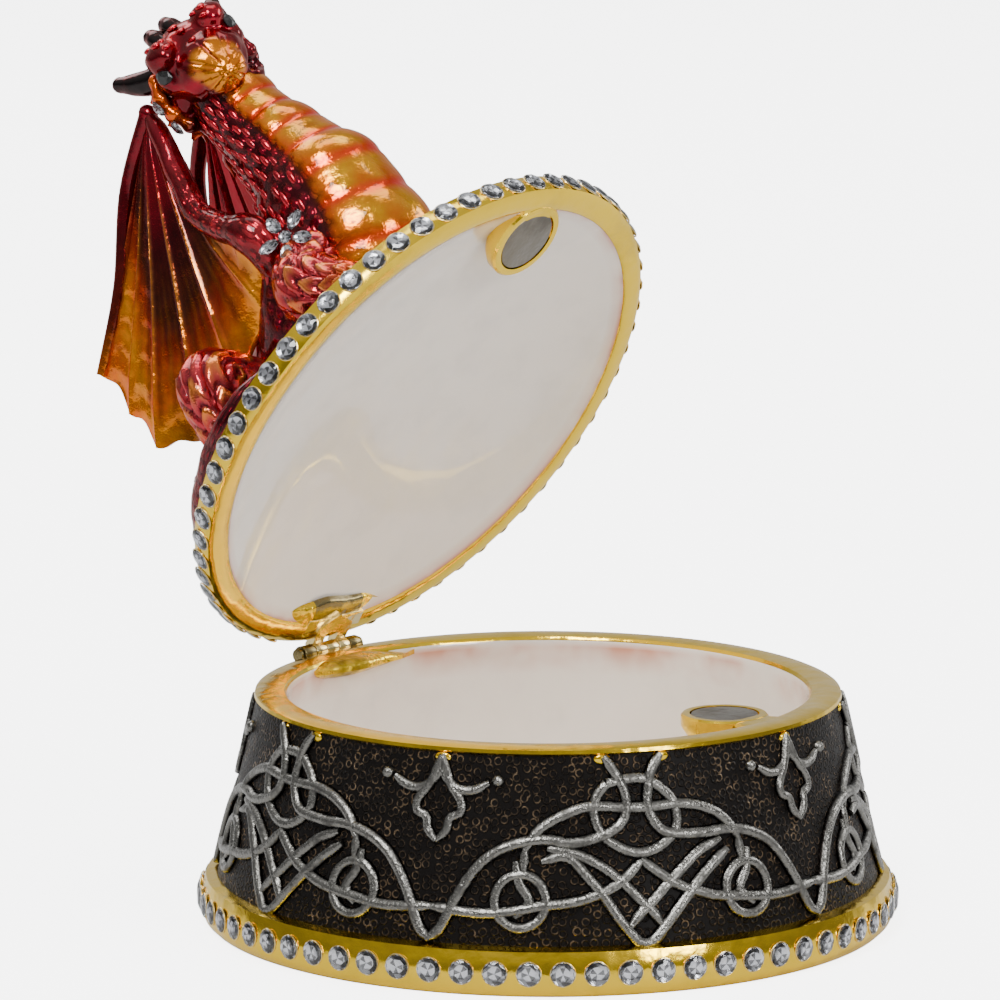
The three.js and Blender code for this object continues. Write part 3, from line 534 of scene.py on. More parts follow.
def finishes():
    """All finishes by name, made once."""
    if "dragon_enamel" in bpy.data.materials:
        return bpy.data.materials
    s = bpy.context.scene.jewelry_box
    make_groups()
    make_metal("gold_plate", s.gold_colour, 1.0, 0.3, 0.0003, 0.22, 170.0, 0.1)
    make_metal("soldered_gold", s.gold_colour, 1.0, 0.1, 0.0006, 0.95, 400.0, 0.14)
    make_metal("hinge_brass", s.hinge_colour, 1.0, 0.3, 0.0003, 0.5, 300.0, 0.16)
    # A darker copy of the hinge brass, for painted shade on the outer knuckles, the pin's heads and the middle
    # of the lid's pad.
    make_metal("shaded_brass", s.hinge_colour, 0.28, 0.08, 0.0003, 0.6, 300.0, 0.2)
    make_metal("magnet_nickel", s.magnet_colour, 1.0, 0.45, 0.0002, 0.6, 500.0, 0.24)
    make_metal("underside_gold", s.gold_colour, 1.0, 0.4, 0.0003, 0.6, 500.0, 0.3)
    make_cream("cream_enamel", s.enamel_colour, s.stain_colour)
    make_punched("punched_wall", s.wall_colour, s.punch_colour)
    make_strand("rubbed_silver", s.strand_colour, s.wall_colour)
    make_enamel("dragon_enamel")
    make_crystal("clear_crystal")
    make_foil("crystal_foil", 0.62, 0.9)
    make_foil("shaded_foil", 0.12, 0.3)
    make_black_stone("black_stone")
    return bpy.data.materials


def looks_of(names):
    return [finishes()[name] for name in names]


# The box


def wall_radius(z):
    return np.interp(z, [WALL_FOOT, WALL_TOP], [WALL_LOW_RADIUS, WALL_TOP_RADIUS])


def on_wall(degrees, z, out):
    turn = np.radians(degrees)
    r = wall_radius(z) + out
    return np.stack([r * np.cos(turn), r * np.sin(turn), np.broadcast_to(z, np.shape(turn))], -1)


def mirrored(strands):
    """Each strand, followed by itself in a mirror."""
    return [(lift, [(a * side, h) for a, h in points]) for lift, points in strands for side in (1, -1)]


# One knot, as (lift, points) with each point an angle from the knot's axis and a height.
KNOT = [
    (0.1, [(-5.6, 25.8), (-3.1, 23.6), (-1.8, 21.8), (-1.6, 20.3), (-2.4, 18.8), (-4.7, 17.7), (-7.7, 17),
           (-11.3, 16.6), (-15.7, 16.8)]),
    (0.1, [(5.6, 25.8), (3.4, 24), (2.6, 22.1), (2.3, 20.5), (3.1, 18.8),
           (5.1, 17.4), (8.4, 17), (15.7, 16.8)]),
    (-0.1, [(-5.1, 22.8), (-6.9, 21.6), (-7.6, 20.2), (-7.4, 19), (-6, 17.2), (-3.4, 16), (-0.6, 15.3),
            (2.7, 15.4), (5.3, 16.2), (7.4, 17.4), (7.9, 18.9), (7.4, 20.5), (5.2, 22), (2.5, 23.1),
            (-1.5, 23.2), (-5.1, 22.8)]),
    (0.0, [(-19.9, 15.8), (-17.6, 17.9), (-13.3, 19.5), (-8.6, 20.4), (-2.3, 20.2), (3, 20.1), (8.6, 20.2),
           (14, 19.4), (17.8, 17.8), (19.9, 15.8)]),
    (0.05, [(-17, 14.6), (-12.7, 15.1), (-8.9, 12.8), (-6.2, 10.7), (-3.8, 8.3), (-1.9, 6.7), (-0.3, 5.6),
            (1.5, 5.6), (4.1, 7.2), (6.3, 8.7), (8.6, 10.3), (13, 12.9), (17.2, 14.8)]),
    (-0.05, [(-16, 16), (-11.1, 15.4), (-5.7, 13.6), (-2.2, 11.7), (0, 10.2), (1.9, 9), (3.6, 7.4)]),
    (-0.05, [(16, 16), (11.6, 14.9), (8.6, 13.5), (6.1, 12.2), (4.3, 11.2), (2.5, 10.1), (0.2, 8.9),
             (-1.9, 7.4)]),
    (0.0, [(0.6, 14.4), (-3.5, 12.1), (-8, 10.8), (-12.3, 10.1), (-17.2, 9.8), (-21, 9.3), (-27, 8.9),
           (-36.2, 9.3)]),
    (0.0, [(0.4, 14.6), (3.4, 13.1), (6.8, 11.6), (10.3, 10.7), (13.6, 10), (17.4, 9.6), (21, 9.3),
           (27, 8.9), (36.2, 9.3)]),
    *mirrored([
        (0.08, [(-12.4, 16.8), (-17.8, 16.9), (-22.8, 16.2), (-26.7, 14.8), (-29.7, 12.6), (-32.1, 9.9),
                (-34.5, 6.7), (-36.4, 5.8)]),
        (-0.1, [(-19.9, 16.1), (-20.1, 13.6)]),
        (-0.12, [(-21.6, 14.6), (-20.8, 12.2), (-19, 10.2), (-21.5, 8.6)]),
    ]),
]
# The pendant between two knots, its angles from its own axis.
PENDANT_SIDE = [(0, 25.7), (-1, 24), (-2, 22.5), (-4.2, 20.6),
                (-4.2, 19.5), (-2.2, 18.9), (-1.8, 17.6), (0, 16.4)]
PENDANT = [
    (0.05, PENDANT_SIDE),
    (0.0, [(-a, h) for a, h in PENDANT_SIDE]),
    *mirrored([(-0.05, [(0.5, 24.2), (-3.2, 22.1), (-6.4, 22), (-9.3, 22.9)])]),
]
PENDANT_AXIS = 180 / KNOT_REPEATS
RINGS = [(-20.6, 10.3), (20.6, 10.3)]
RING_RADII = (4.4, 2.9)
DOTS = [(-10.9, 23.1), (10.9, 23.1)]
DRIPS = [(-5.7, 25.4), (5.7, 25.4), (PENDANT_AXIS, 25.3)]
STRAND_STEP = 0.5


def add_strand(sheet, points, turn, lift, width, height):
    """One strand laid on the wall: rounded across, with tapered ends."""
    points = np.asarray(points, float)
    flat = np.stack([np.radians(points[:, 0]) * PATTERN_RADIUS, points[:, 1]], 1)
    total = np.linalg.norm(np.diff(flat, axis=0), axis=1).sum()
    rings = max(6, int(total / STRAND_STEP))
    spots, along, _, length = spline(flat, rings)
    closed = np.linalg.norm(flat[0] - flat[-1]) < 0.1
    end = np.minimum(length, length[-1] - length)
    taper = np.ones_like(end) if closed else 0.62 + 0.38 * smooth(0, 1.2, end)
    across = np.stack([along[:, 1], -along[:, 0]], 1)
    a = np.linspace(-0.15 * math.pi, 1.15 * math.pi, 9)
    w = width / 2 * taper[:, None]
    x = spots[:, 0:1] + across[:, 0:1] * w * np.cos(a)
    z = spots[:, 1:2] + across[:, 1:2] * w * np.cos(a)
    out = (height * np.sin(a)) * (0.7 + 0.3 * taper[:, None]) + lift
    body = on_wall(np.degrees(x / PATTERN_RADIUS) + turn, z, out)
    # The mark is 1 on a strand's crown and 0 at its edges, where the strand is painted in shade.
    grain = np.zeros((*x.shape, 3))
    grain[..., 2] = np.clip(np.sin(a), 0, 1)
    faces = grid_faces(rings, len(a), closed=False)
    if not closed:
        faces += end_caps(rings, len(a))
    sheet.add(body, faces, STRAND, GREY, grain)


def band_edge(radius, bulge, height, count):
    """The rounded outer edge of a band, from just above its foot to its top."""
    t = np.linspace(0, 1, count)[1:]
    return np.stack([radius + bulge * np.sin(math.pi * t ** 0.85), height * t], 1).tolist()


def build_base(s):
    sheet = Sheet()
    underside = [(0, 0), (30, 0), (39.3, 0)]
    band = [*band_edge(39.55, 0.62, 5.1, 12), (38.6, 5.35), (WALL_LOW_RADIUS, WALL_FOOT)]
    wall = [(wall_radius(z), z) for z in np.linspace(WALL_FOOT, WALL_TOP, 24)[1:]]
    rim = [(33.6, 25.85), (33.85, 26.1), (33.75, 26.5), (33.3, 26.7), (32.4, 26.78), (31.2, 26.76),
           (30.4, 26.6), (30.1, 26.2)]
    inside = [(30.05, 25.4), (30.4, 22), (31.8, 14), (33.2, 7), (33.5, 5.2), (33.1, 3.9), (32.0, 3.0),
              (30.2, 2.65), (24, 2.6), (12, 2.6), (0, 2.6)]
    profile, looks = [], []
    for stretch, look in ((underside, UNDERSIDE), (band, GOLD), (wall, WALL), (rim, GOLD), (inside, CREAM)):
        profile += stretch
        looks += [look] * len(stretch)
    # A look is that of the step up to its point, so the first point's is left out.
    sheet.lathe(profile, looks[1:], LATHE_SIDES)
    stain = sheet.grains[-1].reshape(len(profile), LATHE_SIDES, 3)
    edge = len(profile) - len(inside)
    stain[edge, :, 2] = 0.8
    stain[edge + 1, :, 2] = 0.04
    for i in range(KNOT_REPEATS):
        turn = KNOT_START + 360 / KNOT_REPEATS * i
        for lift, points in KNOT:
            add_strand(sheet, points, turn, lift, 1.36, 0.72)
        for lift, points in PENDANT:
            add_strand(sheet, [(a + PENDANT_AXIS, h) for a, h in points], turn, lift, 1.2, 0.62)
        for a, h in RINGS:
            t = np.linspace(0, 2 * math.pi, 25)
            ring = np.stack([a + RING_RADII[0] * np.cos(t), h + RING_RADII[1] * np.sin(t)], 1)
            add_strand(sheet, ring, turn, 0.02, 1.25, 0.66)
        for a, h in DOTS:
            spot = on_wall(np.array(a + PENDANT_AXIS + turn), np.array(h), 0.1)
            sheet.ball(spot, (0.7, 0.7, 0.7), look=STRAND, crest=1.0)
        for a, h in DRIPS:
            spot = on_wall(np.array(a + turn), np.array(h), 0.0)
            out = unit([spot[0], spot[1], 0])
            axes = [out, np.cross([0, 0, 1], out), (0, 0, 1)]
            sheet.ball(spot, (0.32, 0.95, 0.6), axes, look=GOLD)
    add_magnet_seat(sheet, MAGNET_Y, BASE_HEIGHT, 1, as_given)
    add_pad(sheet, BASE_HEIGHT, 1, as_given)
    sheet.build("base_casting", looks_of(CASTING_LOOKS[:PAD_SHADE]), "base", ["box_base"], "dark_metal", 40)


SEAT_REACH = 31.6
SEAT_ROWS, SEAT_SIDES = 10, 20


def add_magnet_seat(sheet, y, face, up, place):
    """A round gold boss that grows out of the rim and holds a magnet flush with its face."""
    profile = [(3.96, 0.0), (4.2, 0.05), (4.75, 0.0), (4.98, -0.25), (4.95, -1.4), (4.4, -2.3), (3, -2.65),
               (0.01, -2.7), (0.01, -1.72), (3.96, -1.72), (3.96, 0.0)]

    def put(p):
        return place(np.stack([p[..., 0] + MAGNET_SIDE, p[..., 1] + y, face + p[..., 2] * up], -1))

    sheet.lathe(profile, [GOLD] * (len(profile) - 1), 48, put)
    a = circle(SEAT_SIDES)
    c, d = squared(a, 0.5)
    rows = []
    for t in np.linspace(0, 1, SEAT_ROWS):
        w = 3.2 + 1.9 * abs(2 * t - 1) ** 1.5
        z = -1.2 + 1.18 * d
        rows.append(np.stack([w * c, np.full_like(c, -t * (SEAT_REACH + y)), z], -1))
    sheet.add(put(np.asarray(rows)), grid_faces(SEAT_ROWS, SEAT_SIDES) + end_caps(SEAT_ROWS, SEAT_SIDES), GOLD)


PAD_ROWS, PAD_SIDES = 41, 28
PAD_SHADE_ROWS = range(10, 30)


def add_pad(sheet, face, up, place):
    """The soft gold pad behind the hinge, with the small swellings that solder leaves."""
    a = circle(PAD_SIDES)
    c, d = squared(a, 0.6)
    rows = []
    for x in np.linspace(-1, 1, PAD_ROWS):
        end = (1 - abs(x) ** 4) ** 0.5 if x < 0 else 1 - x ** 1.7
        y = 29.3 + 2.3 * c * (0.35 + 0.65 * end)
        z = -1.18 + 1.18 * d * max(end, 0.02)
        y = np.where(np.cos(a) < 0, y + 0.2 * np.sin(x * 7.0) * end, y)
        z = np.where(np.sin(a) < 0, z * (1 - 0.5 * smooth(0.2, -0.8, np.cos(a))), z)
        rows.append(np.stack([np.full_like(y, x * 8.6), y, face + z * up], -1))
    faces = grid_faces(PAD_ROWS, PAD_SIDES) + end_caps(PAD_ROWS, PAD_SIDES)
    # Only the lid's pad, which hangs face down, is painted in shade in its middle, with the darker copy of the
    # hinge brass.
    looks = [PAD_SHADE if up < 0 and k // PAD_SIDES in PAD_SHADE_ROWS else SOLDER for k in range(len(faces))]
    sheet.add(place(np.asarray(rows)), faces, looks)


def lid_dome(r):
    return LID_BAND_HEIGHT + LID_RISE * (1 - (r / LID_RADIUS) ** 2)


def build_lid(s):
    sheet = Sheet()
    face = [(29.9, 0.25), (30.2, 0.05), (31, 0.0), (31.9, 0.02), (32.3, 0.1)]
    edge = band_edge(32.55, 0.38, LID_BAND_HEIGHT, 10)
    dome = [(r, lid_dome(r)) for r in (32.2, 31, 28, 24, 18, 12, 6, 0)]
    share = np.array([1.0, 0.985, 0.95, 0.88, 0.78, 0.66, 0.5, 0.34, 0.17, 0])
    inner = [(29.87 * k, 0.25 + 4.95 * (1 - k ** 3.2)) for k in share]
    profile = face + edge + dome + inner[::-1]
    top = len(face) + len(edge)
    looks = [GOLD] * top + [WALL] * (len(dome) - 1) + [CREAM] * len(inner)
    sheet.lathe(profile, looks, LATHE_SIDES, from_lid)
    grain = sheet.grains[-1].reshape(len(profile), LATHE_SIDES, 3)
    grain[-1, :, 2] = 0.9
    grain[-2, :, 2] = 0.35
    # The pattern lies flat on the dome, because it would stretch if it ran round it.
    turn = circle(LATHE_SIDES)
    for k, (r, _) in enumerate(dome):
        grain[top + k, :, :2] = np.stack([r * np.cos(turn), r * np.sin(turn)], -1)
    add_magnet_seat(sheet, MAGNET_Y - LID_SHIFT, 0.0, -1, from_lid)
    add_pad(sheet, 0.0, -1, from_lid)
    sheet.build("lid_casting", looks_of(CASTING_LOOKS), "lid", ["box_lid"], "gold_metal", 40)


# Crystals


GEM_SIDES = 8
BEZEL_THICKNESS = 0.07
BEZEL_SIDES, BEZEL_TUBE_SIDES = 24, 8
STONE_TURN = 2.4
BARE_AT_HINGE = 13
CRYSTAL_LOOKS = ("clear_crystal", "crystal_foil", "hinge_brass", "shaded_foil")
CLEAR, FOIL, BRASS_SETTING, SHADED_FOIL = range(len(CRYSTAL_LOOKS))


def across_of(out):
    """Some direction square to the given one."""
    return unit(np.cross(out, [0.31, 0.17, 0.93]))


def gem(sheet, centre, out, radius, rise, foil=FOIL, along=None, narrow=1.0, dark=None):
    """A cut stone with a foil cup just under it, round at its girdle or narrow across one direction.

    dark is the look of every third facet of the cup.
    """
    out = unit(out)
    first = across_of(out) if along is None else unit(along)
    second = np.cross(out, first) * narrow
    n = GEM_SIDES
    a = circle(n)
    half = math.pi / n

    def ring(r, h, turn=0.0):
        b = a + turn
        return centre + out * h + (first * np.cos(b)[:, None] + second * np.sin(b)[:, None]) * r

    points = np.vstack([
        ring(radius * 0.5, radius * rise),
        ring(radius * 0.8, radius * rise * 0.62, half),
        ring(radius, radius * 0.08),
        ring(radius, 0.0),
        ring(radius * 0.45, -radius * 0.1, half),
    ])
    faces = [tuple(range(n))]
    for j in range(n):
        k = (j + 1) % n
        faces += [(j, n + j, k), (n + j, 2 * n + k, k), (k, 2 * n + k, n + k), (n + j, 2 * n + j, 2 * n + k)]
        faces.append((2 * n + j, 3 * n + j, 3 * n + k, 2 * n + k))
        faces += [(3 * n + j, 4 * n + j, 3 * n + k), (3 * n + k, 4 * n + j, 4 * n + k)]
    faces.append(tuple(4 * n + j for j in reversed(range(n))))
    sheet.add(points, faces, CLEAR)
    bottom = centre[None] - out * radius * 0.035
    cup = np.vstack([ring(radius * 1.03, 0.0, half), ring(radius * 0.6, -radius * 0.02), bottom])
    cups = [(j, (j + 1) % n, n + (j + 1) % n, n + j) for j in range(n)]
    cups += [(n + j, n + (j + 1) % n, 2 * n) for j in range(n)]
    facets = [dark if dark is not None and j % 3 == 0 else foil for j in range(2 * n)]
    sheet.add(cup, cups, facets)


def bezel(sheet, centre, out, radius):
    """The thin wavy ring of metal that holds a stone."""
    out = unit(out)
    first = across_of(out)
    second = np.cross(out, first)
    a, b = np.meshgrid(circle(BEZEL_SIDES), circle(BEZEL_TUBE_SIDES), indexing="ij")
    r = radius + BEZEL_THICKNESS * (1 + 0.25 * np.cos(4 * a)) * np.cos(b)
    ring = first * (r * np.cos(a))[..., None] + second * (r * np.sin(a))[..., None]
    body = centre + ring + out * (BEZEL_THICKNESS * 1.1 * np.sin(b))[..., None]
    n, last = BEZEL_TUBE_SIDES, (BEZEL_SIDES - 1) * BEZEL_TUBE_SIDES
    faces = grid_faces(BEZEL_SIDES, n) + [(last + j, last + (j + 1) % n, (j + 1) % n, j) for j in range(n)]
    sheet.add(body, faces, BRASS_SETTING)


def row_stone(sheet, centre, out, radius, rise, turn):
    """A crystal of a row, turned so that neighbours catch the light differently, in its setting."""
    first = across_of(out)
    along = first * math.cos(turn) + np.cross(out, first) * math.sin(turn)
    gem(sheet, centre, out, radius, rise, along=along, dark=SHADED_FOIL)
    bezel(sheet, centre - out * 0.08, out, radius + 0.04)


def build_rows(s):
    foot, lid = Sheet(), Sheet()
    foot_radius, lid_radius = (size / 2 / MM for size in (s.foot_stone_size, s.lid_stone_size))
    for i in range(s.foot_stones):
        a = math.radians(-131.33) + 2 * math.pi * i / s.foot_stones
        out = np.array([math.cos(a), math.sin(a), 0.0])
        row_stone(foot, out * 40.26 + [0, 0, 2.75], out, foot_radius, 0.27, STONE_TURN * i)
    for i in range(s.lid_stones):
        a = math.radians(271.2) - 2 * math.pi * i / s.lid_stones
        if abs(math.degrees(math.atan2(math.cos(a), math.sin(a)))) < BARE_AT_HINGE:
            continue
        way = np.array([math.cos(a), math.sin(a), 0.0])
        spot = from_lid(way * 33.02 + [0, 0, 1.62])
        row_stone(lid, spot, turned_by_lid(way), lid_radius, 0.25, STONE_TURN * i)
    foot.build("foot_crystals", looks_of(CRYSTAL_LOOKS), "base", (), "crystal", 15)
    lid.build("lid_crystals", looks_of(CRYSTAL_LOOKS), "lid", (), "crystal", 15)


# Hinge and magnets


HINGE_LOOKS = ("hinge_brass", "gold_plate", "shaded_brass")
BRASS, _, SHADED_BRASS = range(len(HINGE_LOOKS))
BARREL_SIDES, BARREL_EDGE = 32, 0.07
SLAB_STEPS, SLAB_EDGE = 7, 0.12
KNUCKLE_PITCH, KNUCKLE_LENGTH, KNUCKLE_DRAWN = 1.95, 1.8, 1.03
LEAF_HALF, LEAF_HALF_WIDTH = 0.33, 4.75


def barrel(sheet, radius, x0, x1, centre, look=BRASS):
    """A round bar along X with softened ends."""
    r, e = radius, BARREL_EDGE
    profile = [(x0, r - e), (x0 + e * 0.3, r - e * 0.3), (x0 + e, r), (x1 - e, r), (x1 - e * 0.3, r - e * 0.3),
               (x1, r - e)]
    a = circle(BARREL_SIDES)
    body = [np.stack([np.full_like(a, x), centre[1] + r * np.cos(a), centre[2] + r * np.sin(a)], -1)
            for x, r in profile]
    faces = grid_faces(len(profile), BARREL_SIDES) + end_caps(len(profile), BARREL_SIDES)
    sheet.add(body, faces, look)


def slab(sheet, x, y, z):
    """A thin plate with softened edges, from the low to the high of each pair."""
    low, high = np.array([x, y, z]).T
    centre, half = (low + high) / 2, (high - low) / 2
    v = np.linspace(-math.pi / 2, math.pi / 2, 2 * SLAB_STEPS)
    v, u = np.meshgrid(v, circle(8 * SLAB_STEPS), indexing="ij")
    local = np.stack([np.cos(v) * np.cos(u), np.cos(v) * np.sin(u), np.sin(v)], -1)
    box = np.sign(local) * np.minimum(1, np.abs(local) * 6)
    corner = box * (half - SLAB_EDGE) + unit(local) * SLAB_EDGE
    sheet.add(centre + corner, grid_faces(2 * SLAB_STEPS, 8 * SLAB_STEPS))


def build_hinge(s):
    base, lid, pin = Sheet(), Sheet(), Sheet()
    ends = [((i - 2) * KNUCKLE_PITCH - KNUCKLE_LENGTH / 2, (i - 2) * KNUCKLE_PITCH + KNUCKLE_LENGTH / 2)
            for i in range(5)]
    y = LID_HINGE[1]
    plate = HINGE[2] - KNUCKLE_RADIUS + LEAF_THICKNESS / 2
    flat = LID_HINGE[2] + KNUCKLE_RADIUS + LEAF_THICKNESS / 2 - 0.25
    low, high = (plate - LEAF_HALF, plate + LEAF_HALF), (flat - LEAF_HALF, flat + LEAF_HALF)
    whole = (-LEAF_HALF_WIDTH, LEAF_HALF_WIDTH)
    for i in (0, 2, 4):
        # The outer knuckles of the base are painted in shade with the darker brass.
        barrel(base, KNUCKLE_DRAWN, *ends[i], HINGE, BRASS if i == 2 else SHADED_BRASS)
        slab(base, ends[i], (31.9, 34.3), low)
    slab(base, whole, (30.15, 32.2), low)
    for i in (1, 3):
        barrel(lid, KNUCKLE_DRAWN, *ends[i], LID_HINGE)
        slab(lid, ends[i], (y - 2.6, y - 0.1), high)
    slab(lid, whole, (y - 4.4, y - 2.4), high)
    # The plate over the knuckles: a roof with two tines, as (side, distance from the hinge).
    roof = [(-2.85, 0.7), (-2.85, 3.3), (0, 4.9), (2.85, 3.3), (2.85, 0.7), (1.05, 0.7), (1.05, 2.3),
            (-1.05, 2.3), (-1.05, 0.7)]
    n = len(roof)
    faces = [tuple(range(n)), tuple(range(2 * n - 1, n - 1, -1))]
    faces += [(k, n + k, n + (k + 1) % n, (k + 1) % n) for k in range(n)]
    lid.add([(a, y - b, h) for h in (-0.45, 0.4) for a, b in roof], faces)
    lid.points = [from_lid(p) for p in lid.points]
    barrel(pin, 0.42, -5.2, 5.2, HINGE)
    # The pin's heads are painted in shade with the darker brass.
    for head in ((-5.35, -4.95), (4.95, 5.35)):
        barrel(pin, 0.8, *head, HINGE, SHADED_BRASS)
    looks = looks_of(HINGE_LOOKS)
    base.build("hinge_leaf_on_base", looks, "base", ["hinge_leaf_base"], "hinge_metal")
    lid.build("hinge_leaf_on_lid", looks, "lid", ["hinge_leaf_lid"], "hinge_metal", 35)
    pin.build("hinge_pin_with_heads", looks, "base", ["hinge_pin"], "hinge_metal")


def build_magnets(s):
    profile = [(0, 0), (3.5, 0), (3.75, 0.06), (3.86, 0.22), (3.86, 1.4), (3.75, 1.56), (3.5, 1.6), (0, 1.6)]
    in_base = lambda p: p + [MAGNET_SIDE, MAGNET_Y, BASE_HEIGHT - 1.62]
    in_lid = lambda p: from_lid(p + [MAGNET_SIDE, MAGNET_Y - LID_SHIFT, 0.02])
    for body, place in (("base", in_base), ("lid", in_lid)):
        sheet = Sheet()
        sheet.lathe(profile, [0] * (len(profile) - 1), 64, place)
        sheet.build("magnet_in_" + body, looks_of(["magnet_nickel"]), body, ["magnet_" + body], "magnet", 35)


# The dragon, in the lid's frame

RED = np.array([0.2, 0.0, 0.01])
BRIGHT_RED = np.array([0.52, 0.002, 0.026])
MAROON = np.array([0.085, 0.001, 0.008])
BROWN = np.array([0.12, 0.02, 0.002])
AMBER = np.array([0.7, 0.2, 0.0])
YELLOW = np.array([0.68, 0.34, 0.0])
SUNSET = np.array([0.85, 0.2, 0.0])
ORANGE_RED = np.array([0.8, 0.07, 0.002])
PINK = np.array([0.55, 0.04, 0.055])
PALE_GOLD = np.array([0.95, 0.36, 0.05])
HORN = np.array([0.012, 0.011, 0.012])

SPINE = [at(0, -17, 10), at(0, -9, 14.5), at(0, 1, 17), at(0, 8, 20.5), at(0, 12, 27), at(0, 13.3, 34),
         at(-0.3, 13.6, 41), at(-0.6, 14.5, 47.5)]
SPINE_WIDTHS = [5, 9.9, 10.2, 9.4, 7.6, 5.6, 4.7, 4.6]
SPINE_DEPTHS = [4, 8.5, 10, 12.6, 9.4, 6.2, 4.8, 4.4]
SCUTE_LOW, SCUTE_HIGH, SCUTES = 0.33, 0.95, 9


def scute_place(share):
    """Which scute a place along the spine lies in, and how far up that scute it is."""
    x = np.clip((share - SCUTE_LOW) / (SCUTE_HIGH - SCUTE_LOW), 0, 0.9999) ** 0.92 * SCUTES
    return x - np.floor(x)


def front_share(turn):
    """How much a place round the body belongs to the belly, and its angle from the belly's middle."""
    away = np.abs((turn - 1.5 * math.pi + math.pi) % (2 * math.pi) - math.pi)
    return smooth(math.radians(62), math.radians(50), away), away


def torso_shape(share, turn, length, body):
    front, _ = front_share(turn)
    inside = smooth(SCUTE_LOW - 0.02, SCUTE_LOW + 0.02, share)
    inside = inside * smooth(SCUTE_HIGH + 0.02, SCUTE_HIGH - 0.01, share)
    x = scute_place(share)
    plate = np.sin(np.pi * x) ** 0.45
    size = 0.42 - 0.18 * smooth(0.5, 0.95, share)
    return front * inside * (plate * size + 0.25 - 0.1 * (1 - plate)) + 0.12 * wobble(body, 2.3, 1)


def torso_tint(share, turn, length, body):
    front, away = front_share(turn)
    inside = smooth(SCUTE_LOW - 0.04, SCUTE_LOW, share) * smooth(SCUTE_HIGH + 0.02, SCUTE_HIGH - 0.01, share)
    x = scute_place(share)
    groove = 1 - smooth(0.0, 0.24, np.minimum(x, 1 - x)) * 0.97
    gold = mix(YELLOW, AMBER, smooth(0.1, 0.9, 0.5 + 0.5 * wobble(body, 1.6, 4)))
    # Painted highlight: each scute turns a lighter yellow towards its upper edge.
    gold = mix(gold, YELLOW * 1.1, smooth(0.3, 0.6, x) * 0.5)
    gold = mix(gold, ORANGE_RED, np.clip(groove * 1.05, 0, 1))
    gold = mix(gold, ORANGE_RED, 0.5 * smooth(math.radians(34), math.radians(54), away))
    side = mix(MAROON, RED * 0.6, smooth(-0.3, 0.7, wobble(body, 3.1, 2)))
    return mix(side, gold, front * inside)


def torso_grain(share, turn, length, body):
    front, _ = front_share(turn)
    return np.stack([length, turn * 6.5, 1 - front], -1)


TAIL_RING = 27.5


def tail_point(turn, height):
    a = math.radians(turn)
    return at(TAIL_RING * math.cos(a), TAIL_RING * math.sin(a), height)


TAIL = [at(0, -13, 11), at(7, -20, 9), tail_point(-62, 7.4), *(tail_point(t, 6) for t in range(-82, -183, -20)),
        at(-22, 8, 7)]
TAIL_WIDTHS = [6, 5.6, 5, 4.4, 4, 3.6, 3.2, 2.7, 2.2, 1.6, 0.5]
TAIL_DEPTHS = [6, 5.4, 4.6, 4.2, 3.8, 3.4, 3, 2.6, 2.1, 1.5, 0.5]

HEAD_CENTRE = at(-1.7, 15.8, 50.6)
HEAD_FORWARD = unit([-0.508, -0.5745, -0.643])
HEAD_SIDE = unit(np.cross(HEAD_FORWARD, [-0.35, -0.322, 0.88]))
HEAD_UP = np.cross(HEAD_SIDE, HEAD_FORWARD)
HEAD_AXES = np.stack([HEAD_SIDE, HEAD_FORWARD, HEAD_UP])


def in_head(side, forward, up):
    return HEAD_CENTRE + np.array([side, forward, up], float) @ HEAD_AXES


WRIST = [5, 7.8, 51.8]
WING_EDGE = [[10, -20.6, 38.5], [10.6, -21, 34], [12, -21, 29.2], [13.2, -20.6, 23.8],
             [12.8, -17.2, 20], [11.5, -10, 18.5], [9, -3, 19], [8, 3, 22]]
WING_ARM = [[6, 5, 22], [9, 7.8, 27.5], [8.6, 5.7, 32], [8, 4.3, 36.5], [7, 5.3, 42], [5.8, 7.2, 48], WRIST]
FOLDS = 6
WING_GRID = (97, 61)
LIMB_SIDE = (1, 0, 0)


def swelling(size, seed, height=0.12):
    """A tube's shape with soft unevenness."""
    return lambda share, turn, length, body: height * wobble(body, size, seed)


def fading(root, tip, low, high):
    """A tube's tint that goes from one colour to another along it."""
    return lambda share, turn, length, body: mix(root, tip, smooth(low, high, share))


def curve_at(points, share):
    """Points at shares of a curve's control list, evenly by length."""
    spots, _, _, length = spline(points, 200)
    x = np.asarray(share) * length[-1]
    return np.stack([np.interp(x, length, spots[:, i]) for i in range(3)], -1)


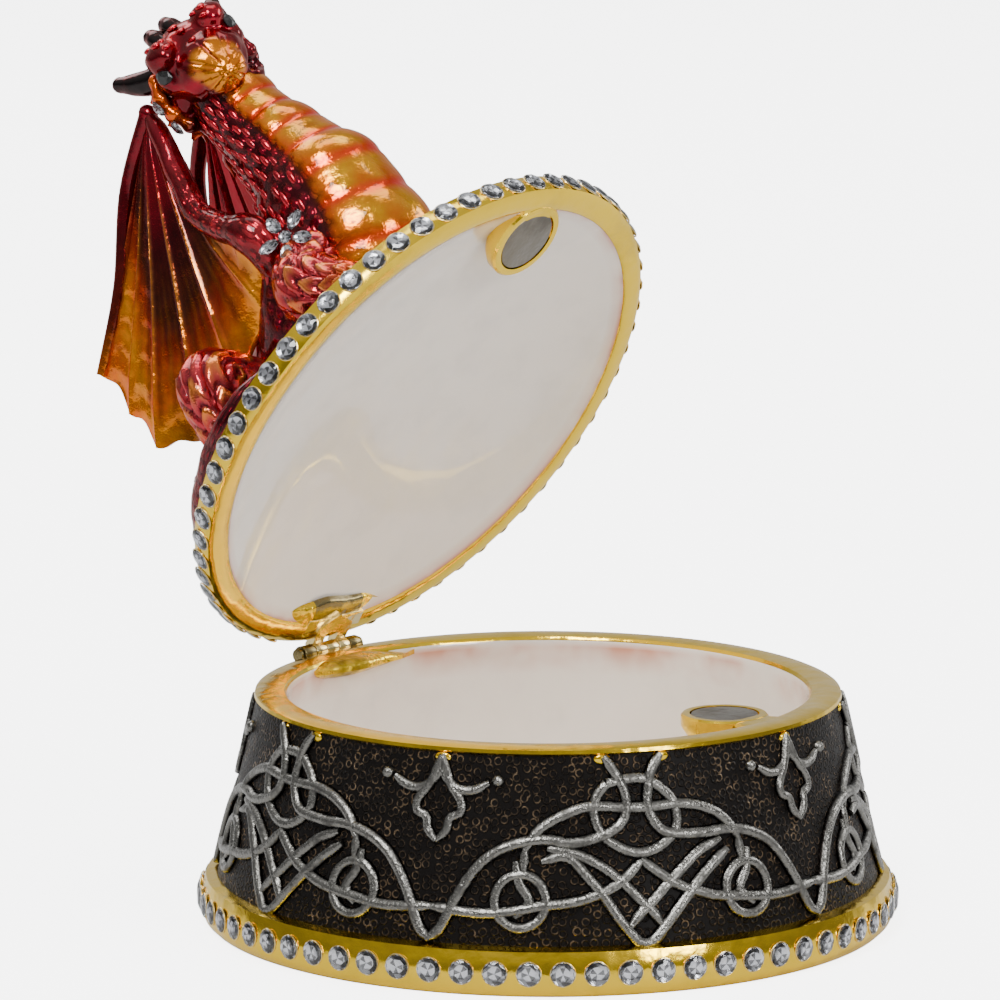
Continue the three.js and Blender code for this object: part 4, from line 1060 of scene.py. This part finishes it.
def add_wing(sheet, mirror):
    """One folded wing: a web between the wrist and its scalloped edge, an arm and a finger.

    In the web, s runs from the leading edge to the body and t from the wrist to the scallops.
    """
    place = lambda p: at(mirror * p[0], p[1], p[2])
    columns, rows = WING_GRID
    s, t = np.meshgrid(np.linspace(0, 1, columns), np.linspace(0, 1, rows), indexing="ij")
    edge = curve_at([place(p) for p in WING_EDGE], s)
    arm = curve_at([place(p) for p in WING_ARM], 1 - 0.88 * t)
    wrist = place(WRIST)
    rib = 1 - np.abs(np.sin(math.pi * s * FOLDS))
    scallop = 0.03 * np.sin(math.pi * ((s * FOLDS) % 1)) ** 2
    p = wrist + (edge - wrist) * (t * (1 - scallop))[..., None]
    blend = (s ** 5)[..., None]
    p = p * (1 - blend) + arm * blend
    grow = np.minimum(1, 2.5 * t)
    fold = (0.4 * rib ** 5 - 0.05) * grow - 0.7 * np.sin(math.pi * s) * smooth(0.1, 0.7, t)
    veins = 0.1 * np.sin(t * 60 + s * 25) * smooth(0.35, 0.8, t) * (1 - rib)
    bow = -0.4 * np.sin(math.pi * t) * (1 - s)
    thick = 0.62 * np.minimum(1, 0.35 + 6 * np.minimum(t, 1 - t))
    thick = thick * np.minimum(1, 0.3 + 12 * np.minimum(s, 1 - s))
    sides = []
    for face in (1, -1):
        q = p.copy()
        q[..., 0] += mirror * (fold + bow + veins + face * thick)
        sides.append(q)
    streak = 0.5 + 0.5 * np.sin(s * 160 + 3 * np.sin(t * 7))
    shift = t + 0.26 * smooth(0.34, 0.0, s) - 0.07 * smooth(0.25, 0.4, s) + 0.1 * smooth(0.7, 1, s)
    shift = shift + 0.02 * wobble(p, 3.0, 2)
    colour = ramp([(0, RED), (0.16, BRIGHT_RED * 0.6), (0.34, RED * 0.45), (0.56, BROWN * 0.8),
                   (0.68, ORANGE_RED * 0.6), (0.8, SUNSET), (0.92, mix(SUNSET, YELLOW, 0.5) * 1.3),
                   (1.1, SUNSET * 1.1)], shift)
    gold = mix(PALE_GOLD * 0.9, mix(SUNSET, YELLOW, 0.6), smooth(0.4, 0.9, t))
    stripes = (0.5 + 0.5 * np.sin(s * 97 + 2 * np.sin(t * 5))) ** 2
    dark = 0.5 * stripes * smooth(0.3, 0.6, t) * smooth(1.0, 0.85, t) * smooth(0.1, 0.35, s)
    colour = mix(colour, mix(MAROON, BROWN, 0.5), dark)
    # Painted highlight: gold along the crests of the folds.
    line = np.clip(rib, 0, 1) ** 9 * smooth(0.12, 0.4, t) * 0.6
    colour = mix(colour, gold, line)
    colour = mix(colour, gold, 0.3 * streak ** 2 * smooth(0.4, 0.85, t) * (1 - rib) ** 2)
    web = smooth(0.78, 0.95, s) * smooth(0.35, 0.6, t) * smooth(0.98, 0.8, t)
    colour = mix(colour, PALE_GOLD * 0.75, web * 0.8)
    low = smooth(0.86, 1.0, t) * smooth(0.3, 0.5, s) * smooth(0.8, 0.65, s)
    colour = mix(colour, BROWN * 0.7, low * 0.8)
    front = smooth(0.1, 0.0, s) * smooth(0.95, 0.5, t)
    colour = mix(colour, RED, front * 0.7)
    if mirror > 0:
        colour = mix(colour, BRIGHT_RED * 0.8, 0.75 * smooth(0.9, 0.4, t))
    body = np.stack(sides)
    n = columns * rows
    faces = grid_faces(columns, rows, closed=False)
    faces += [[v + n for v in reversed(f)] for f in faces]
    rim = [i * rows + rows - 1 for i in range(columns)]
    rim += [(columns - 1) * rows + j for j in range(rows - 2, -1, -1)]
    for chain in (rim, range(rows)):
        for a, b in zip(chain[:-1], chain[1:]):
            faces.append((a, b, b + n, a + n))
    sheet.add(body, faces, tint=np.concatenate([colour.reshape(-1, 3)] * 2))

    def arm_tint(share, turn, length, body):
        mottled = mix(RED * 0.7, PINK * 0.8, smooth(0.2, 1, 0.5 + 0.5 * wobble(body, 2, 5)))
        return mix(mottled, RED, smooth(0.5, 0.9, share))

    def arm_grain(share, turn, length, body):
        return np.stack([length, turn * 1.9, 0.7 * smooth(0.75, 0.5, share)], -1)

    def finger_tint(share, turn, length, body):
        return ramp([(0, RED), (0.45, RED * 0.7), (0.8, BROWN + RED * 0.3), (1, AMBER)], share)

    arm_girth = [2.4, 2.4, 1.8, 1.6, 1.5, 1.3, 0.8]
    sheet.tube([place(p) for p in WING_ARM], arm_girth, arm_girth, LIMB_SIDE, 20, 70,
               arm_tint, arm_grain, swelling(1.6, 9))
    finger_girth = [1.1, 1, 0.9, 0.8]
    finger = [place(p) for p in (WRIST, [6, -1.4, 49.3], [8, -11.3, 42.8], WING_EDGE[0])]
    sheet.tube(finger, finger_girth, finger_girth, LIMB_SIDE, 14, 40, finger_tint)
    sheet.ball(place(WRIST), (1.1, 1.1, 1.3), tint=RED)


def feathers(turn, length, seed):
    """Leaf-shaped plumes that run down a leg, from 0 in their grooves to 1 on their ribs."""
    across = np.abs(((turn * 4 / math.pi + seed) % 1) - 0.5) * 2
    down = (length * 0.42 - 0.8 * across + 0.5 * np.floor(turn * 4 / math.pi + seed)) % 1
    return smooth(0.0, 0.35, down) * (1 - 0.5 * down), across


def leg_tint(seed):
    def tint(share, turn, length, body):
        plume, across = feathers(turn, length, seed)
        base = mix(MAROON * 1.2, PINK, smooth(0.1, 0.7, plume))
        base = mix(base, PALE_GOLD, 0.85 * smooth(0.55, 0.85, plume) * smooth(0.75, 0.2, across))
        return mix(base, mix(ORANGE_RED, AMBER, plume), 0.85 * smooth(0.5, 0.9, share))
    return tint


def leg_shape(seed):
    def shape(share, turn, length, body):
        plume, across = feathers(turn, length, seed)
        return 0.7 * plume * smooth(1.0, 0.7, across) + 0.1 * wobble(body, 1.5, seed)
    return shape


# Each leg: its points, its widths, its depths and the seed of its plumes.
LEGS = [
    ([[7.0, 9.2, 19.4], [11.2, 9.4, 15.6], [11.6, 12.8, 10.5], [12.2, 15.8, 6.8]],
     [4.2, 3.9, 2.8, 2], [4.0, 3.6, 2.6, 1.7], 3),
    ([[7, -9.6, 14], [15.6, -6.8, 19.2], [15.8, -9.8, 10.5], [15.8, -3, 7.3]],
     [5.2, 3.7, 2.9, 2.2], [5.2, 3.9, 3, 1.8], 6),
]


def add_legs(sheet):
    for mirror in (-1, 1):
        place = lambda p: at(mirror * p[0], p[1], p[2])
        for points, widths, depths, seed in LEGS:
            sheet.tube([place(p) for p in points], widths, depths, (0.1, 1, 0.2), 72, 80, leg_tint(seed), None,
                       leg_shape(seed))
            side, front, up = points[-1]
            for i in (-1, 0, 1):
                start = place([side + i * 1.2, front - 0.6, up + 0.4])
                tip = place([side + i * 1.9, front + 3.2 - abs(i) * 0.5, up - 0.7])
                middle = (start + tip) / 2 + [0, 0, 0.8]
                sheet.tube([start, middle, tip], [1.15, 0.9, 0.2], [1.1, 0.85, 0.2], LIMB_SIDE, 12, 12,
                           fading(AMBER, HORN * 1.5, 0.45, 0.7))


def head_coordinates(points):
    """How far to the side, forward and up each point lies in the head."""
    return ((points - HEAD_CENTRE) @ HEAD_AXES.T).T


def head_colour(points):
    side, forward, up = head_coordinates(points)
    colour = mix(RED * 0.75, BRIGHT_RED, smooth(-0.2, 0.9, wobble(points, 1.7, 3)) * 0.55)
    muzzle = smooth(6.6, 7.6, forward + 0.2 * up + 0.8 * wobble(points, 1.5, 6))
    muzzle = muzzle * smooth(3.8, 3.0, np.abs(side))
    rays = np.abs(np.sin(np.arctan2(side, up + 2) * 4 + 0.6 * wobble(points, 2.0, 2)))
    gold = mix(mix(YELLOW, AMBER, 0.7), ORANGE_RED * 0.5, 0.7 * (1 - smooth(0.0, 0.4, rays)))
    colour = mix(colour, gold, muzzle)
    # Painted shade: the underside of the jaw is darkened to maroon.
    jaw = smooth(-2.6, -4.2, up)
    colour = mix(colour, MAROON * 0.9, jaw * (1 - muzzle) * 0.8)
    cheek = smooth(3.6, 5.2, np.abs(side)) * smooth(1.2, -0.8, forward)
    return mix(colour, AMBER, 0.6 * cheek)


def head_relief(points):
    side, forward, up = head_coordinates(points)
    muzzle = smooth(6.0, 7.4, forward + 0.25 * up)
    rays = np.abs(np.sin(np.arctan2(side, up + 2) * 5))
    mouth = np.exp(-((up + 3.6 + 0.1 * forward) / 0.3) ** 2) * smooth(1, 3, forward)
    return -0.22 * muzzle * (1 - smooth(0, 0.4, rays)) - 0.35 * mouth + 0.16 * wobble(points, 1.1, 8)


# The rounds that the head grows from, as (side, forward, up), radii and their grid.
SKULL = [
    ((0, 0.2, 0), (5.8, 5.6, 5.2)),
    ((0, 3.6, -0.8), (4.9, 4.4, 4.2)),
    ((0, 6.8, -2), (3.1, 2.4, 2.8)),
    ((0, 2, -4.4), (3.8, 4.2, 2.8)),
    ((0, 7.2, -0.8), (2.1, 1.6, 1.6)),
]
SKULL_SIDES = [
    ((3.7, 2.7, 3.6), (2.2, 2.7, 1.9), 20, 12),
    ((4.2, 2.4, 0.6), (1.9, 2.2, 2.2), 20, 12),
    ((1.3, 8.4, -1.1), (0.7, 0.6, 0.6), 16, 10),
    ((4.6, 0.4, -2.6), (1.9, 2.2, 2.6), 16, 10),
]
# Small scales on the brows and down the middle of the head, as side, forward, up and size.
BROW_SCALES = [(3.0, 4.6, 4.2, 0.8), (4.4, 4.2, 3.6, 0.75), (3.6, 3.4, 5.0, 0.9), (4.9, 2.8, 4.1, 0.8),
               (2.6, 2.6, 4.9, 0.7), (4.2, 1.6, 4.9, 0.8)]
CROWN_SCALES = [(0, 4.6, 3.0, 0.8), (0, 2.8, 4.5, 0.9), (0, 0.8, 5.1, 0.9),
                (1.3, 5.4, 2.2, 0.6), (-1.3, 5.4, 2.2, 0.6)]
HORN_LINE = [(3.2, -1, 1), (5.7, -3.7, 1.8), (7.5, -6.7, 3.3)]
FRILL = [(5.2, -0.2, 2.2), (6.5, 0.5, 0.4), (6.7, 0.9, -2.4), (5.9, 0.9, -4.8), (4.6, 1.0, -6.6)]
# The photo's side of the head, where mirror is 1, is the fuller one: its spikes as height and reach.
NEAR_SPIKES = [(0.6, 7.4), (-2.8, 7.5), (-5.8, 6.3)]
FAR_SPIKES = [(-2.8, 6.6)]


def head_form():
    """The points, normals and faces of skull, muzzle and jaw, grown into one."""
    raw = Sheet()
    for spot, radii in SKULL:
        raw.ball(in_head(*spot), radii, HEAD_AXES, wide=32, high=20)
    for mirror in (-1, 1):
        for (side, forward, up), radii, wide, high in SKULL_SIDES:
            raw.ball(in_head(mirror * side, forward, up), radii, HEAD_AXES, wide=wide, high=high)
    raw.tube([at(0, 14.5, 44), at(0.4, 18.0, 46.2)], [3.4, 3], [3.4, 3], LIMB_SIDE, 20, 8)
    mesh = bpy.data.meshes.new("head_form")
    mesh.from_pydata(np.vstack(raw.points).tolist(), [], raw.faces)
    form = bpy.data.objects.new("head_form", mesh)
    bpy.context.scene.collection.objects.link(form)
    remesh = form.modifiers.new("grow", "REMESH")
    remesh.mode = "VOXEL"
    remesh.voxel_size = 0.24
    relax = form.modifiers.new("relax", "SMOOTH")
    relax.factor = 0.6
    relax.iterations = 16
    ready = form.evaluated_get(bpy.context.evaluated_depsgraph_get()).to_mesh()
    co, normals = np.zeros(len(ready.vertices) * 3), np.zeros(len(ready.vertices) * 3)
    ready.vertices.foreach_get("co", co)
    ready.vertices.foreach_get("normal", normals)
    faces = [tuple(p.vertices) for p in ready.polygons]
    bpy.data.objects.remove(form)
    return co.reshape(-1, 3), normals.reshape(-1, 3), faces


def add_head(sheet):
    points, normals, faces = head_form()
    points = points + normals * head_relief(points)[:, None]
    sheet.add(points, faces, tint=head_colour(points))
    horn_tint, ridges = fading(RED * 0.4, HORN, 0.0, 0.2), swelling(1.2, 5, 0.08)
    waves = lambda share, turn, length, body: 0.22 * np.sin(length * 2.6)
    for mirror in (-1, 1):
        near = mirror > 0
        put = lambda p: in_head(mirror * p[0], p[1], p[2])
        horn_girth, nub_girth = [1.9, 1.6, 1.0], [1.4, 1.25, 1.0]
        sheet.tube([put(p) for p in HORN_LINE], horn_girth, horn_girth, HEAD_UP, 20, 30,
                   horn_tint, None, ridges)
        aside = 1.7 if near else -0.7
        nub = [in_head(aside, forward, up) for forward, up in ((0, 3.4), (-1.8, 4.8), (-3.3, 5.5))]
        sheet.tube(nub, nub_girth, nub_girth, HEAD_SIDE, 20, 22, horn_tint, None, ridges)
        sheet.ball(put(HORN_LINE[-1]), (1.0, 1.0, 1.0), tint=HORN)
        sheet.ball(nub[-1], (1.0, 1.0, 1.0), tint=HORN)
        for up, reach in NEAR_SPIKES if near else FAR_SPIKES:
            spike = [(3.2, 0.6, up * 0.8), ((3.2 + reach) / 2 + 0.3, 0.1, up - 0.1), (reach, -0.8, up - 0.8)]
            sheet.tube([put(p) for p in spike], [1.8, 1.0, 0.3], [1.1, 0.6, 0.25], HEAD_UP, 16, 20,
                       fading(AMBER, ORANGE_RED * 0.7, 0.2, 0.9))
        width = 1.0 if near else 0.82
        frill = [put((side * width, forward, up)) for side, forward, up in FRILL]
        sheet.tube(frill, [0.5, 1.15, 1.25, 1.15, 0.7], [0.5, 0.75, 0.8, 0.8, 0.6], HEAD_FORWARD, 20, 50,
                   fading(mix(ORANGE_RED, AMBER, 0.5) if near else RED, MAROON, 0.55, 0.8), None, waves)
        for side, forward, up, size in BROW_SCALES:
            radii = (size * 0.7, size * 1.25, size * 0.42)
            sheet.ball(put((side, forward, up + 0.2)), radii, HEAD_AXES, 0, BRIGHT_RED * 1.1, 14, 8)
    for side, forward, up, size in CROWN_SCALES:
        radii = (size * 0.75, size * 1.3, size * 0.3)
        sheet.ball(in_head(side, forward, up + 0.1), radii, HEAD_AXES, 0, BRIGHT_RED, 14, 8)


def add_crest(sheet, points, shares, outward, reach, size):
    """A row of spines along a curve. reach and size are functions of a spine's share of the row."""
    spots = curve_at(points, shares)
    near = curve_at(points, np.minimum(shares + 0.01, 1))
    for k, (spot, ahead) in enumerate(zip(spots, near)):
        along = unit(ahead - spot)
        out = unit(outward(along))
        share = k / (len(shares) - 1)
        r, h = reach(share), size(share)
        foot = spot + out * r * 0.55
        top = spot + out * (r + h) - along * h * 0.5
        middle = spot + out * (r + 0.35 * h) + along * h * 0.1
        sheet.tube([foot, middle, top], [h * 0.8, h * 0.6, 0.12], [h * 0.5, h * 0.3, 0.1], along, 12, 12,
                   fading(RED * 0.7, ORANGE_RED * 0.6, 0.3, 0.9))


NECK_ROWS, NECK_SCALES, NECK_STEPS = 17, 5, 120


def add_neck_scales(sheet):
    """Raised oval scales in rows down both sides of the neck and chest."""
    spots, along, share, _ = spline(SPINE, NECK_STEPS)
    for i in range(NECK_ROWS):
        k = int(np.interp(0.42 + 0.5 * i / (NECK_ROWS - 1), share, np.arange(NECK_STEPS)))
        w, d = (float(eased(girth, share[k : k + 1])[0]) for girth in (SPINE_WIDTHS, SPINE_DEPTHS))
        across = unit(np.array([1.0, 0, 0]) - along[k] * along[k][0])
        up = np.cross(along[k], across)
        for side in (-1, 1):
            for j in range(NECK_SCALES):
                away = math.radians(69 + 19 * j + (9.5 if i % 2 else 0) + 3 * math.sin(i * 1.7 + j))
                a = 1.5 * math.pi + side * away
                rim = across * w * math.cos(a) + up * d * math.sin(a)
                normal = unit(across * math.cos(a) / w + up * math.sin(a) / d)
                axes = np.stack([unit(np.cross(normal, along[k])), along[k], normal])
                size = 0.42 + 0.028 * w
                tone = (BRIGHT_RED * 0.55 + PINK * 0.6) * (0.6 + 0.35 * math.sin(i * 2.3 + j * 1.7) ** 2)
                sheet.ball(spots[k] + rim, (size * 0.66, size * 1.7, 0.2), axes, 0, tone, 12, 7)


DOME_EDGE = 32.2


def above_lid(points):
    """The same points, kept on top of the lid's dome and band."""
    p = np.array(points, float)
    r = np.hypot(p[:, 0], p[:, 1])
    top = np.where(r < DOME_EDGE, lid_dome(np.minimum(r, DOME_EDGE)) + 0.06, LID_BAND_HEIGHT + 0.1)
    p[:, 2] = np.maximum(p[:, 2], top)
    return p


def tail_tint(share, turn, length, body):
    return mix(MAROON, RED * 0.7, smooth(-0.2, 0.8, wobble(body, 2.4, 7)))


def tail_grain(share, turn, length, body):
    return np.stack([length, turn * 3.2, np.ones_like(share)], -1)


def build_dragon(s):
    sheet = Sheet()
    sheet.tube(SPINE, SPINE_WIDTHS, SPINE_DEPTHS, LIMB_SIDE, 120, 170, torso_tint, torso_grain, torso_shape)
    sheet.tube(TAIL, TAIL_WIDTHS, TAIL_DEPTHS, (0.02, 0.01, 1), 36, 150, tail_tint, tail_grain, swelling(2, 4))
    add_legs(sheet)
    add_wing(sheet, -1)
    add_wing(sheet, 1)
    add_head(sheet)
    add_crest(sheet, SPINE, np.linspace(0.2, 0.97, 9), lambda a: [0, a[2], -a[1]],
              lambda k: 7.6 - 3.6 * k, lambda k: 2.6)
    add_crest(sheet, TAIL, np.linspace(0.3, 0.85, 6), lambda a: [0, 0, 1],
              lambda k: 4 - 2.4 * k, lambda k: 2.2 - k)
    add_neck_scales(sheet)
    sheet.points = [from_lid(above_lid(p)) for p in sheet.points]
    sheet.build("dragon_figure", looks_of(["dragon_enamel"]), "lid", ["dragon"], "red_enamel", 75)


FLOWER = at(-10.8, 11.9, 21.8)
FLOWER_FACE = unit([-0.8, -0.5, 0.1])
FLOWER_RADIUS, PETALS = 2.3, 5
CHEEK_STONES = [(6.6, 1.6, -0.9), (6.3, 1.4, -4)]


def build_stones(s):
    """The eye stones, the cheek crystals and the flower on the shoulder."""
    eyes, cheek, flower = Sheet(), Sheet(), Sheet()
    for mirror in (1, -1):
        out = unit(HEAD_SIDE * mirror + HEAD_FORWARD * 0.6)
        spot = in_head(mirror * 4.9, 3.2, 1.6) + out * 0.3
        gem(eyes, from_lid(spot), turned_by_lid(out), 1.25, 0.5, foil=CLEAR)
    for place in CHEEK_STONES:
        spot = in_head(*place) + HEAD_SIDE * 1.0
        gem(cheek, from_lid(spot), turned_by_lid(HEAD_SIDE), 1.1, 0.5, dark=SHADED_FOIL)
    across = unit(np.cross([0, 0, 1], FLOWER_FACE))
    upward = np.cross(FLOWER_FACE, across)
    out, middle = turned_by_lid(FLOWER_FACE), FLOWER + FLOWER_FACE * 0.35
    gem(flower, from_lid(middle), out, 0.85, 0.45, along=turned_by_lid(across), dark=SHADED_FOIL)
    for i in range(PETALS):
        turn = 2 * math.pi * (i + 0.25) / PETALS
        way = (across * math.cos(turn) + upward * math.sin(turn)) * FLOWER_RADIUS
        gem(flower, from_lid(middle + way), out, 1.3, 0.45,
            along=turned_by_lid(way), narrow=0.6, dark=SHADED_FOIL)
    eye_nodes = ["eye_stone_right", "eye_stone_left"]
    eyes.build("eye_stones", looks_of(["black_stone"]), "lid", eye_nodes, "black_stone", 15)
    looks = looks_of(CRYSTAL_LOOKS)
    cheek_nodes = ["dragon_crystal_cheek_1", "dragon_crystal_cheek_2"]
    flower_nodes = ["dragon_crystal_flower_%d" % i for i in range(PETALS + 1)]
    cheek.build("cheek_crystals", looks, "lid", cheek_nodes, "crystal", 15)
    flower.build("flower_crystals", looks, "lid", flower_nodes, "crystal", 15)


# Stage


FLOOR_START, FLOOR_BEND, FLOOR_RADIUS, FLOOR_HEIGHT, FLOOR_HALF_WIDTH = -3.0, 1.4, 1.0, 4.0, 4.0
VIEW_AWAY = np.array([0.7509, 0.6603])
CAMERA_SPOT, CAMERA_TARGET = Vector((-0.5446, -0.4715, 0.1756)), Vector((-0.00365, 0.00415, 0.04857))
LENS, SENSOR = 229.6, 36.0


def aim(thing, spot, target):
    thing.location = spot
    thing.rotation_euler = (target - spot).to_track_quat("-Z", "Y").to_euler()
    bpy.context.scene.collection.objects.link(thing)


def build_floor(s):
    """A pale floor that bends up behind the box. Light other than the camera's own rays finds it grey."""
    n, shader = finish("pale_floor", Roughness=0.6, Emission_Strength=s.floor_glow)
    cloud = n.noise(n.place(), 3.0, 2.0)
    seen = n.new("ShaderNodeLightPath").outputs["Is Camera Ray"]
    pale = n.blend(cloud, (0.92, 0.92, 0.92, 1.0), (0.95, 0.95, 0.95, 1.0))
    link(n, n.blend(seen, (0.5, 0.5, 0.5, 1.0), pale), shader, "Base Color")
    link(n, n.blend(seen, (0.03, 0.03, 0.03, 1.0), pale), shader, "Emission Color")
    a = np.linspace(0, 1, 60) * math.pi / 2
    bend = zip(FLOOR_BEND + FLOOR_RADIUS * np.sin(a), FLOOR_RADIUS * (1 - np.cos(a)))
    line = [(FLOOR_START, 0.0), *bend, (FLOOR_BEND + FLOOR_RADIUS, FLOOR_HEIGHT)]
    away = unit(VIEW_AWAY)
    cross = np.array([-away[1], away[0]])
    points = [(*(away * d + cross * w), h) for d, h in line for w in (-FLOOR_HALF_WIDTH, FLOOR_HALF_WIDTH)]
    faces = [(2 * i, 2 * i + 1, 2 * i + 3, 2 * i + 2) for i in range(len(line) - 1)]
    mesh = bpy.data.meshes.new("studio_floor")
    mesh.from_pydata(points, [], faces)
    mesh.materials.append(bpy.data.materials["pale_floor"])
    for p in mesh.polygons:
        p.use_smooth = True
    floor = bpy.data.objects.new("studio_floor", mesh)
    bpy.context.scene.collection.objects.link(floor)


def build_world(s):
    world = bpy.data.worlds.new("studio")
    bpy.context.scene.world = world
    world.use_nodes = True
    tree = world.node_tree
    tree.nodes.clear()
    n = Nodes(tree)
    up = n.new("ShaderNodeSeparateXYZ", {0: n.new("ShaderNodeTexCoord").outputs["Generated"]}).outputs["Z"]
    shade = n.blend(n.range(up, 0.05, 0.7), (0.28, 0.28, 0.285, 1.0), (1.0, 1.0, 1.0, 1.0))
    sky = n.new("ShaderNodeBackground", {"Color": shade, "Strength": s.sky_light})
    tree.links.new(sky.outputs[0], n.new("ShaderNodeOutputWorld").inputs[0])


def build_stage(s):
    build_floor(s)
    build_world(s)
    # Each lamp's name, place, target, size and power.
    lamps = (
        ("key_light", (-0.55, -0.15, 0.75), (0.0, 0.0, 0.05), 0.32, s.key_light),
        ("front_light", (-0.1, -0.9, 0.45), (0.0, 0.0, 0.04), 0.3, s.key_light * 0.6),
        ("side_light", (0.8, -0.3, 0.4), (0.0, 0.0, 0.05), 0.35, s.key_light * 0.35),
        ("back_light", (0.2, 0.8, 0.7), (0.0, 0.0, 0.08), 0.5, s.key_light * 0.5),
        ("backdrop_light", (0.5, 0.4, 1.8), (1.4, 1.2, 0.3), 1.2, s.key_light * 2.0),
    )
    for name, spot, target, size, power in lamps:
        lamp = bpy.data.lights.new(name, "AREA")
        lamp.size = size
        lamp.energy = power
        aim(bpy.data.objects.new(name, lamp), Vector(spot), Vector(target))
    data = bpy.data.cameras.new("camera")
    data.lens = LENS
    data.sensor_width = SENSOR
    data.clip_end = 20.0
    camera = bpy.data.objects.new("camera", data)
    aim(camera, CAMERA_SPOT, CAMERA_TARGET)
    bpy.context.scene.camera = camera


# Settings, operators and panel


def colour_setting(name, text, default):
    return FloatVectorProperty(name=name, description=text, subtype="COLOR", size=3, min=0, max=1,
                               default=default)


def count_setting(name, text, default):
    return IntProperty(name=name, description=text, default=default, min=3)


def size_setting(name, text, default):
    return FloatProperty(name=name, description=text, default=default, unit="LENGTH")


class JewelryBoxSettings(bpy.types.PropertyGroup):
    gold_colour: colour_setting("Gold", "Colour of the gold plating", (0.95, 0.63, 0.035))
    hinge_colour: colour_setting("Hinge", "Colour of the hinge's brass", (0.85, 0.67, 0.3))
    magnet_colour: colour_setting("Magnets", "Colour of the magnets' nickel plating", (0.2, 0.18, 0.15))
    enamel_colour: colour_setting("Enamel", "Colour of the enamel inside the box and the lid",
                                  (0.95, 0.87, 0.78))
    stain_colour: colour_setting("Burnt Edge", "Colour of the enamel where it meets the gold",
                                 (0.62, 0.16, 0.05))
    wall_colour: colour_setting("Wall", "Colour of the punched wall's ground", (0.005, 0.004, 0.0035))
    # The rings' rim colour also paints their glints.
    punch_colour: colour_setting("Punched Rings", "Colour of the rings' rubbed rims", (0.26, 0.18, 0.11))
    strand_colour: colour_setting("Knotwork", "Colour of the rubbed knotwork", (0.2, 0.195, 0.18))
    foot_stones: count_setting("Foot Crystals", "How many crystals the foot band holds", 67)
    lid_stones: count_setting("Lid Crystals", "How many places for crystals go round the lid's band", 59)
    foot_stone_size: size_setting("Foot Crystal", "Diameter of a foot crystal", 0.0027)
    lid_stone_size: size_setting("Lid Crystal", "Diameter of a lid crystal", 0.0026)
    key_light: FloatProperty(name="Key Light", description="Power of the main studio light",
                             default=7.5, unit="POWER")
    floor_glow: FloatProperty(name="Floor Glow", description="Light that the pale floor gives off", default=5.0)
    sky_light: FloatProperty(name="Room Light", description="Strength of the light all round", default=0.6)


class JEWELRY_OT_base(bpy.types.Operator):
    """Make the base casting with its bands, punched wall and knotwork"""

    bl_idname = "jewelry_box.base"
    bl_label = "Base"

    def execute(self, context):
        build_base(context.scene.jewelry_box)
        return {"FINISHED"}


class JEWELRY_OT_lid(bpy.types.Operator):
    """Make the domed lid with its band and enamelled hollow"""

    bl_idname = "jewelry_box.lid"
    bl_label = "Lid"

    def execute(self, context):
        build_lid(context.scene.jewelry_box)
        return {"FINISHED"}


class JEWELRY_OT_rows(bpy.types.Operator):
    """Make the rows of crystals round the foot and the lid"""

    bl_idname = "jewelry_box.rows"
    bl_label = "Crystal Rows"

    def execute(self, context):
        build_rows(context.scene.jewelry_box)
        return {"FINISHED"}


class JEWELRY_OT_hinge(bpy.types.Operator):
    """Make the hinge's two leaves and its pin"""

    bl_idname = "jewelry_box.hinge"
    bl_label = "Hinge"

    def execute(self, context):
        build_hinge(context.scene.jewelry_box)
        return {"FINISHED"}


class JEWELRY_OT_magnets(bpy.types.Operator):
    """Make the two magnets that hold the lid shut"""

    bl_idname = "jewelry_box.magnets"
    bl_label = "Magnets"

    def execute(self, context):
        build_magnets(context.scene.jewelry_box)
        return {"FINISHED"}


class JEWELRY_OT_dragon(bpy.types.Operator):
    """Make the enamelled dragon on the lid"""

    bl_idname = "jewelry_box.dragon"
    bl_label = "Dragon"

    def execute(self, context):
        build_dragon(context.scene.jewelry_box)
        return {"FINISHED"}


class JEWELRY_OT_stones(bpy.types.Operator):
    """Make the dragon's eyes, its cheek crystals and the flower on its shoulder"""

    bl_idname = "jewelry_box.stones"
    bl_label = "Dragon's Stones"

    def execute(self, context):
        build_stones(context.scene.jewelry_box)
        return {"FINISHED"}


class JEWELRY_OT_stage(bpy.types.Operator):
    """Make the floor, the lights and the camera"""

    bl_idname = "jewelry_box.stage"
    bl_label = "Stage"

    def execute(self, context):
        build_stage(context.scene.jewelry_box)
        return {"FINISHED"}


OPERATORS = (JEWELRY_OT_stage, JEWELRY_OT_base, JEWELRY_OT_lid, JEWELRY_OT_rows, JEWELRY_OT_hinge,
             JEWELRY_OT_magnets, JEWELRY_OT_dragon, JEWELRY_OT_stones)


class JEWELRY_PT_panel(bpy.types.Panel):
    """Lists the box's settings and pieces"""

    bl_idname = "JEWELRY_PT_panel"
    bl_label = "Jewelry Box"
    bl_space_type = "VIEW_3D"
    bl_region_type = "UI"
    bl_category = "Jewelry Box"

    def draw(self, context):
        settings = context.scene.jewelry_box
        for name in JewelryBoxSettings.__annotations__:
            self.layout.prop(settings, name)
        for operator in OPERATORS:
            self.layout.operator(operator.bl_idname)


CLASSES = (JewelryBoxSettings, *OPERATORS, JEWELRY_PT_panel)


def register():
    for cls in CLASSES:
        bpy.utils.register_class(cls)
    bpy.types.Scene.jewelry_box = PointerProperty(type=JewelryBoxSettings)


def unregister():
    del bpy.types.Scene.jewelry_box
    for cls in reversed(CLASSES):
        bpy.utils.unregister_class(cls)


def main():
    register()
    box = bpy.ops.jewelry_box
    for make in (box.stage, box.base, box.lid, box.rows, box.hinge, box.magnets, box.dragon, box.stones):
        make()
    bpy.context.view_layer.update()


if __name__ == "__main__":
    main()
